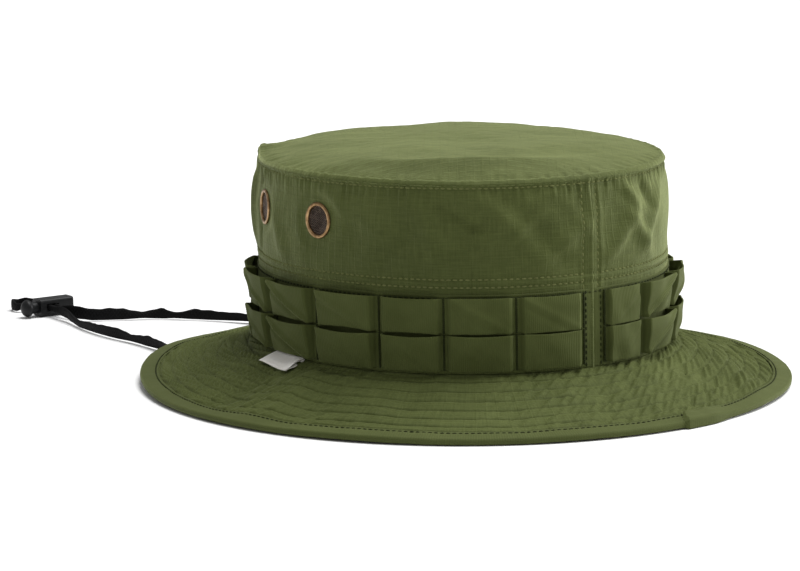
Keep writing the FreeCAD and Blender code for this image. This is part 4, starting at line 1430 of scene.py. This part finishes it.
def cotton(name, low, high, scale=0.5):
    """Plain woven cotton with a slight slub."""
    finish = Finish(name, 0.85, sheen=0.15, specular=0.25)
    flat = finish.place("UV")
    over = finish.bands(flat, "X", band_scale(scale * MM), 0.8)
    under = finish.bands(flat, "Y", band_scale(scale * MM), 0.8)
    weave = finish.sum("ADD", over, under)
    cloud = finish.cloud(finish.place(), 160.0, 4.0)
    tone = finish.tint(finish.spread(cloud, 0.3, 0.7, 0, 1), low, high)
    tone = finish.mix(finish.spread(weave, 0, 2, 0.2, 0.0), tone, tuple(value * 0.6 for value in low))
    return finish.set(base_color=tone, normal=finish.bump(weave, 0.06 * MM, 0.5))


def thread(name, low, high):
    """Polyester thread with a twist showing."""
    finish = Finish(name, 0.7, specular=0.1)
    vector = finish.place()
    twist = finish.bands(vector, "DIAGONAL", 2600.0, 1.5)
    cloud = finish.cloud(vector, 120.0, 3.0)
    tone = finish.mix(finish.spread(twist, 0, 1, 0.0, 0.35), finish.tint(cloud, low, high), low)
    return finish.set(base_color=tone, normal=finish.bump(twist, 0.03 * MM, 0.5))


def braid():
    """Black braided cord: two crossing sets of strands."""
    finish = Finish("black_braid", 0.75, specular=0.12)
    flat = finish.place("UV")
    turned = finish.place("UV", turn=radians(40))
    back = finish.place("UV", turn=radians(-40))
    one = finish.bands(turned, "X", band_scale(1.1 * MM), 0.3)
    two = finish.bands(back, "X", band_scale(1.1 * MM), 0.3)
    strands = finish.sum("MULTIPLY", one, two)
    fuzz = finish.cloud(flat, 1400.0, 3.0)
    tone = finish.tint(strands, (0.0012, 0.0012, 0.0013), (0.0046, 0.0046, 0.0048))
    tone = finish.mix(finish.spread(fuzz, 0.45, 0.8, 0.0, 0.5), tone, (0.008, 0.008, 0.0085))
    height = finish.sum("ADD", strands, finish.sum("MULTIPLY", fuzz, 0.4))
    return finish.set(base_color=tone, normal=finish.bump(height, 0.22 * MM, 0.7))


def moulded_black():
    """Fine-grained moulded nylon, rubbed slightly paler in patches."""
    finish = Finish("moulded_black_nylon", 0.42, specular=0.18)
    vector = finish.place()
    grain = finish.cloud(vector, 2600.0, 2.0)
    rub = finish.cloud(vector, 90.0, 4.0)
    tone = finish.ramp(rub, ((0.35, (0.005, 0.0052, 0.0055)), (0.75, (0.011, 0.0115, 0.012))))
    rough = finish.spread(rub, 0.3, 0.7, 0.34, 0.52)
    return finish.set(base_color=tone, roughness=rough, normal=finish.bump(grain, 0.05 * MM, 0.4))


def aged_brass():
    """Antiqued brass: dark patina with the bright metal rubbed through."""
    finish = Finish("antiqued_brass", 0.4, metal=1.0)
    vector = finish.place()
    patina = finish.cloud(vector, 420.0, 5.0, 0.65)
    scratch = finish.cloud(finish.place(scale=(1, 1, 9)), 900.0, 2.0)
    stops = ((0.28, (0.13, 0.075, 0.035)), (0.5, (0.31, 0.19, 0.09)), (0.72, (0.52, 0.35, 0.18)))
    tone = finish.ramp(patina, stops)
    rough = finish.spread(patina, 0.3, 0.7, 0.52, 0.3)
    return finish.set(base_color=tone, roughness=rough, normal=finish.bump(scratch, 0.03 * MM, 0.35))


def metal_wire(name, low, high, roughness=0.42):
    finish = Finish(name, roughness, metal=1.0)
    vector = finish.place()
    patch = finish.cloud(vector, 500.0, 4.0)
    scratch = finish.cloud(vector, 2400.0, 2.0)
    tone = finish.tint(finish.spread(patch, 0.3, 0.7, 0, 1), low, high)
    return finish.set(base_color=tone, normal=finish.bump(scratch, 0.02 * MM, 0.3))


def paper_floor():
    """A matt, nearly white sweep of paper."""
    finish = Finish("studio_paper", 0.9, specular=0.1)
    speck = finish.cloud(finish.place(), 240.0, 3.0)
    tone = finish.tint(speck, (0.86, 0.86, 0.86), (0.9, 0.9, 0.9))
    return finish.set(base_color=tone, normal=finish.bump(speck, 0.05 * MM, 0.1))


# ---- the studio ----

LENS_MM, SENSOR_MM = 168.0, 36.0
CAMERA_TURN_DEG, CAMERA_RISE_DEG, CAMERA_ROLL_DEG, CAMERA_FAR = 34.22, 9.28, -1.1, 1.695
CAMERA_CENTRE, CAMERA_AIM = (0.0, 0.0, 0.05), (0.0234, -0.0159, 0.0426)
AIR_STRENGTH = 0.38
FLOOR_HALF, FLOOR_Z = 6.0, -0.0004


def make_camera():
    camera = bpy.data.cameras.new("camera")
    camera.lens = LENS_MM
    camera.sensor_width = SENSOR_MM
    camera.clip_start, camera.clip_end = 0.05, 50.0
    holder = stand("camera", camera)
    turn, rise = radians(CAMERA_TURN_DEG), radians(CAMERA_RISE_DEG)
    way = Vector((math.sin(turn) * math.cos(rise), math.cos(turn) * math.cos(rise), math.sin(rise)))
    holder.location = Vector(CAMERA_CENTRE) + way * CAMERA_FAR
    level = (Vector(CAMERA_AIM) - holder.location).to_track_quat("-Z", "Y").to_matrix()
    holder.rotation_euler = (level @ Matrix.Rotation(radians(CAMERA_ROLL_DEG), 3, "Z")).to_euler()
    bpy.context.scene.camera = holder


def soft_sun(name, strength, spread, towards):
    """A wide soft source, from the direction given."""
    light = bpy.data.lights.new(name, "SUN")
    light.energy = strength
    light.angle = radians(spread)
    holder = stand(name, light)
    holder.rotation_euler = (-Vector(towards)).to_track_quat("-Z", "Y").to_euler()


def make_studio():
    mesh = bpy.data.meshes.new("paper sweep")
    corners = [(x * FLOOR_HALF, y * FLOOR_HALF, FLOOR_Z) for x, y in ((-1, -1), (1, -1), (1, 1), (-1, 1))]
    mesh.from_pydata(corners, [], [(0, 1, 2, 3)])
    floor = dress(stand("paper sweep", mesh), paper_floor())
    world = bpy.data.worlds.new("studio")
    world.use_nodes = True
    tree = world.node_tree
    white = (1.0, 1.0, 1.0, 1)
    air = tree.nodes["Background"]
    air.inputs["Color"].default_value = white
    air.inputs["Strength"].default_value = AIR_STRENGTH
    backdrop = add_node(tree, "ShaderNodeBackground", {"Color": white})
    seen = add_node(tree, "ShaderNodeLightPath")
    lit, shown = air.outputs["Background"], backdrop.outputs["Background"]
    pick = add_node(tree, "ShaderNodeMixShader", {"Fac": seen.outputs["Is Camera Ray"], 1: lit, 2: shown})
    tree.links.new(pick.outputs["Shader"], tree.nodes["World Output"].inputs["Surface"])
    bpy.context.scene.world = world
    soft_sun("overhead", 3.2, 40.0, (-0.35, 0.12, 1.2))
    soft_sun("side", 1.9, 36.0, (-0.92, 0.38, 0.25))
    bpy.context.scene.view_settings.view_transform = "Standard"
    bpy.context.scene.view_settings.look = "None"


def dress_carried_nodes(plastic, steel, brass):
    """Better finishes for the frame's own solids that stay as they are."""
    for name in ("cord_lock_barrel", "cord_lock_plunger"):
        dress(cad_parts[name], plastic)
    dress(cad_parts["cord_lock_spring"], steel)
    for side in SIDES:
        for end in ("front", "rear"):
            dress(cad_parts[f"vent_washer_{side}_{end}"], brass)


make_camera()
make_cord(braid())
cloth = ripstop("olive_ripstop", 0.42, 1.1 * MM)
tape = webbing("olive_webbing", (0.06, 0.073, 0.019), (0.082, 0.098, 0.029))
make_crown_sides(cloth)
make_crown_top(cloth)
brim_cloth = ripstop("brim_ripstop", 0.12, 0.4 * MM)
make_brim(brim_cloth, cotton("stiff_lining", (0.09, 0.1, 0.05), (0.13, 0.14, 0.08)))
make_binding(webbing("olive_binding", (0.058, 0.071, 0.019), (0.072, 0.086, 0.025), rib=0.7, depth=0.1))
make_loop_bands(tape)
make_loops(tape)
make_vents(aged_brass(), metal_wire("dark_mesh_wire", (0.07, 0.055, 0.045), (0.26, 0.2, 0.16)))
make_label(cotton("cream_cotton", (0.88, 0.85, 0.78), (0.95, 0.93, 0.88)))
make_sweatband(cotton("sweatband_cotton", (0.05, 0.062, 0.02), (0.075, 0.09, 0.033)))
make_seam_tapes(tape)
# The second thread is painted shade: the same olive thread darkened to stand for the shadow along the stitch
# grooves.
make_stitches(
    thread("olive_thread", (0.085, 0.098, 0.03), (0.2, 0.215, 0.085)),
    thread("olive_thread_painted_shade", (0.014, 0.018, 0.005), (0.04, 0.05, 0.014)),
    thread("inside_thread", (0.06, 0.07, 0.025), (0.09, 0.1, 0.04)),
)
dress_carried_nodes(
    moulded_black(),
    metal_wire("spring_steel_wire", (0.42, 0.42, 0.43), (0.6, 0.6, 0.61), 0.3),
    aged_brass(),
)
make_studio()
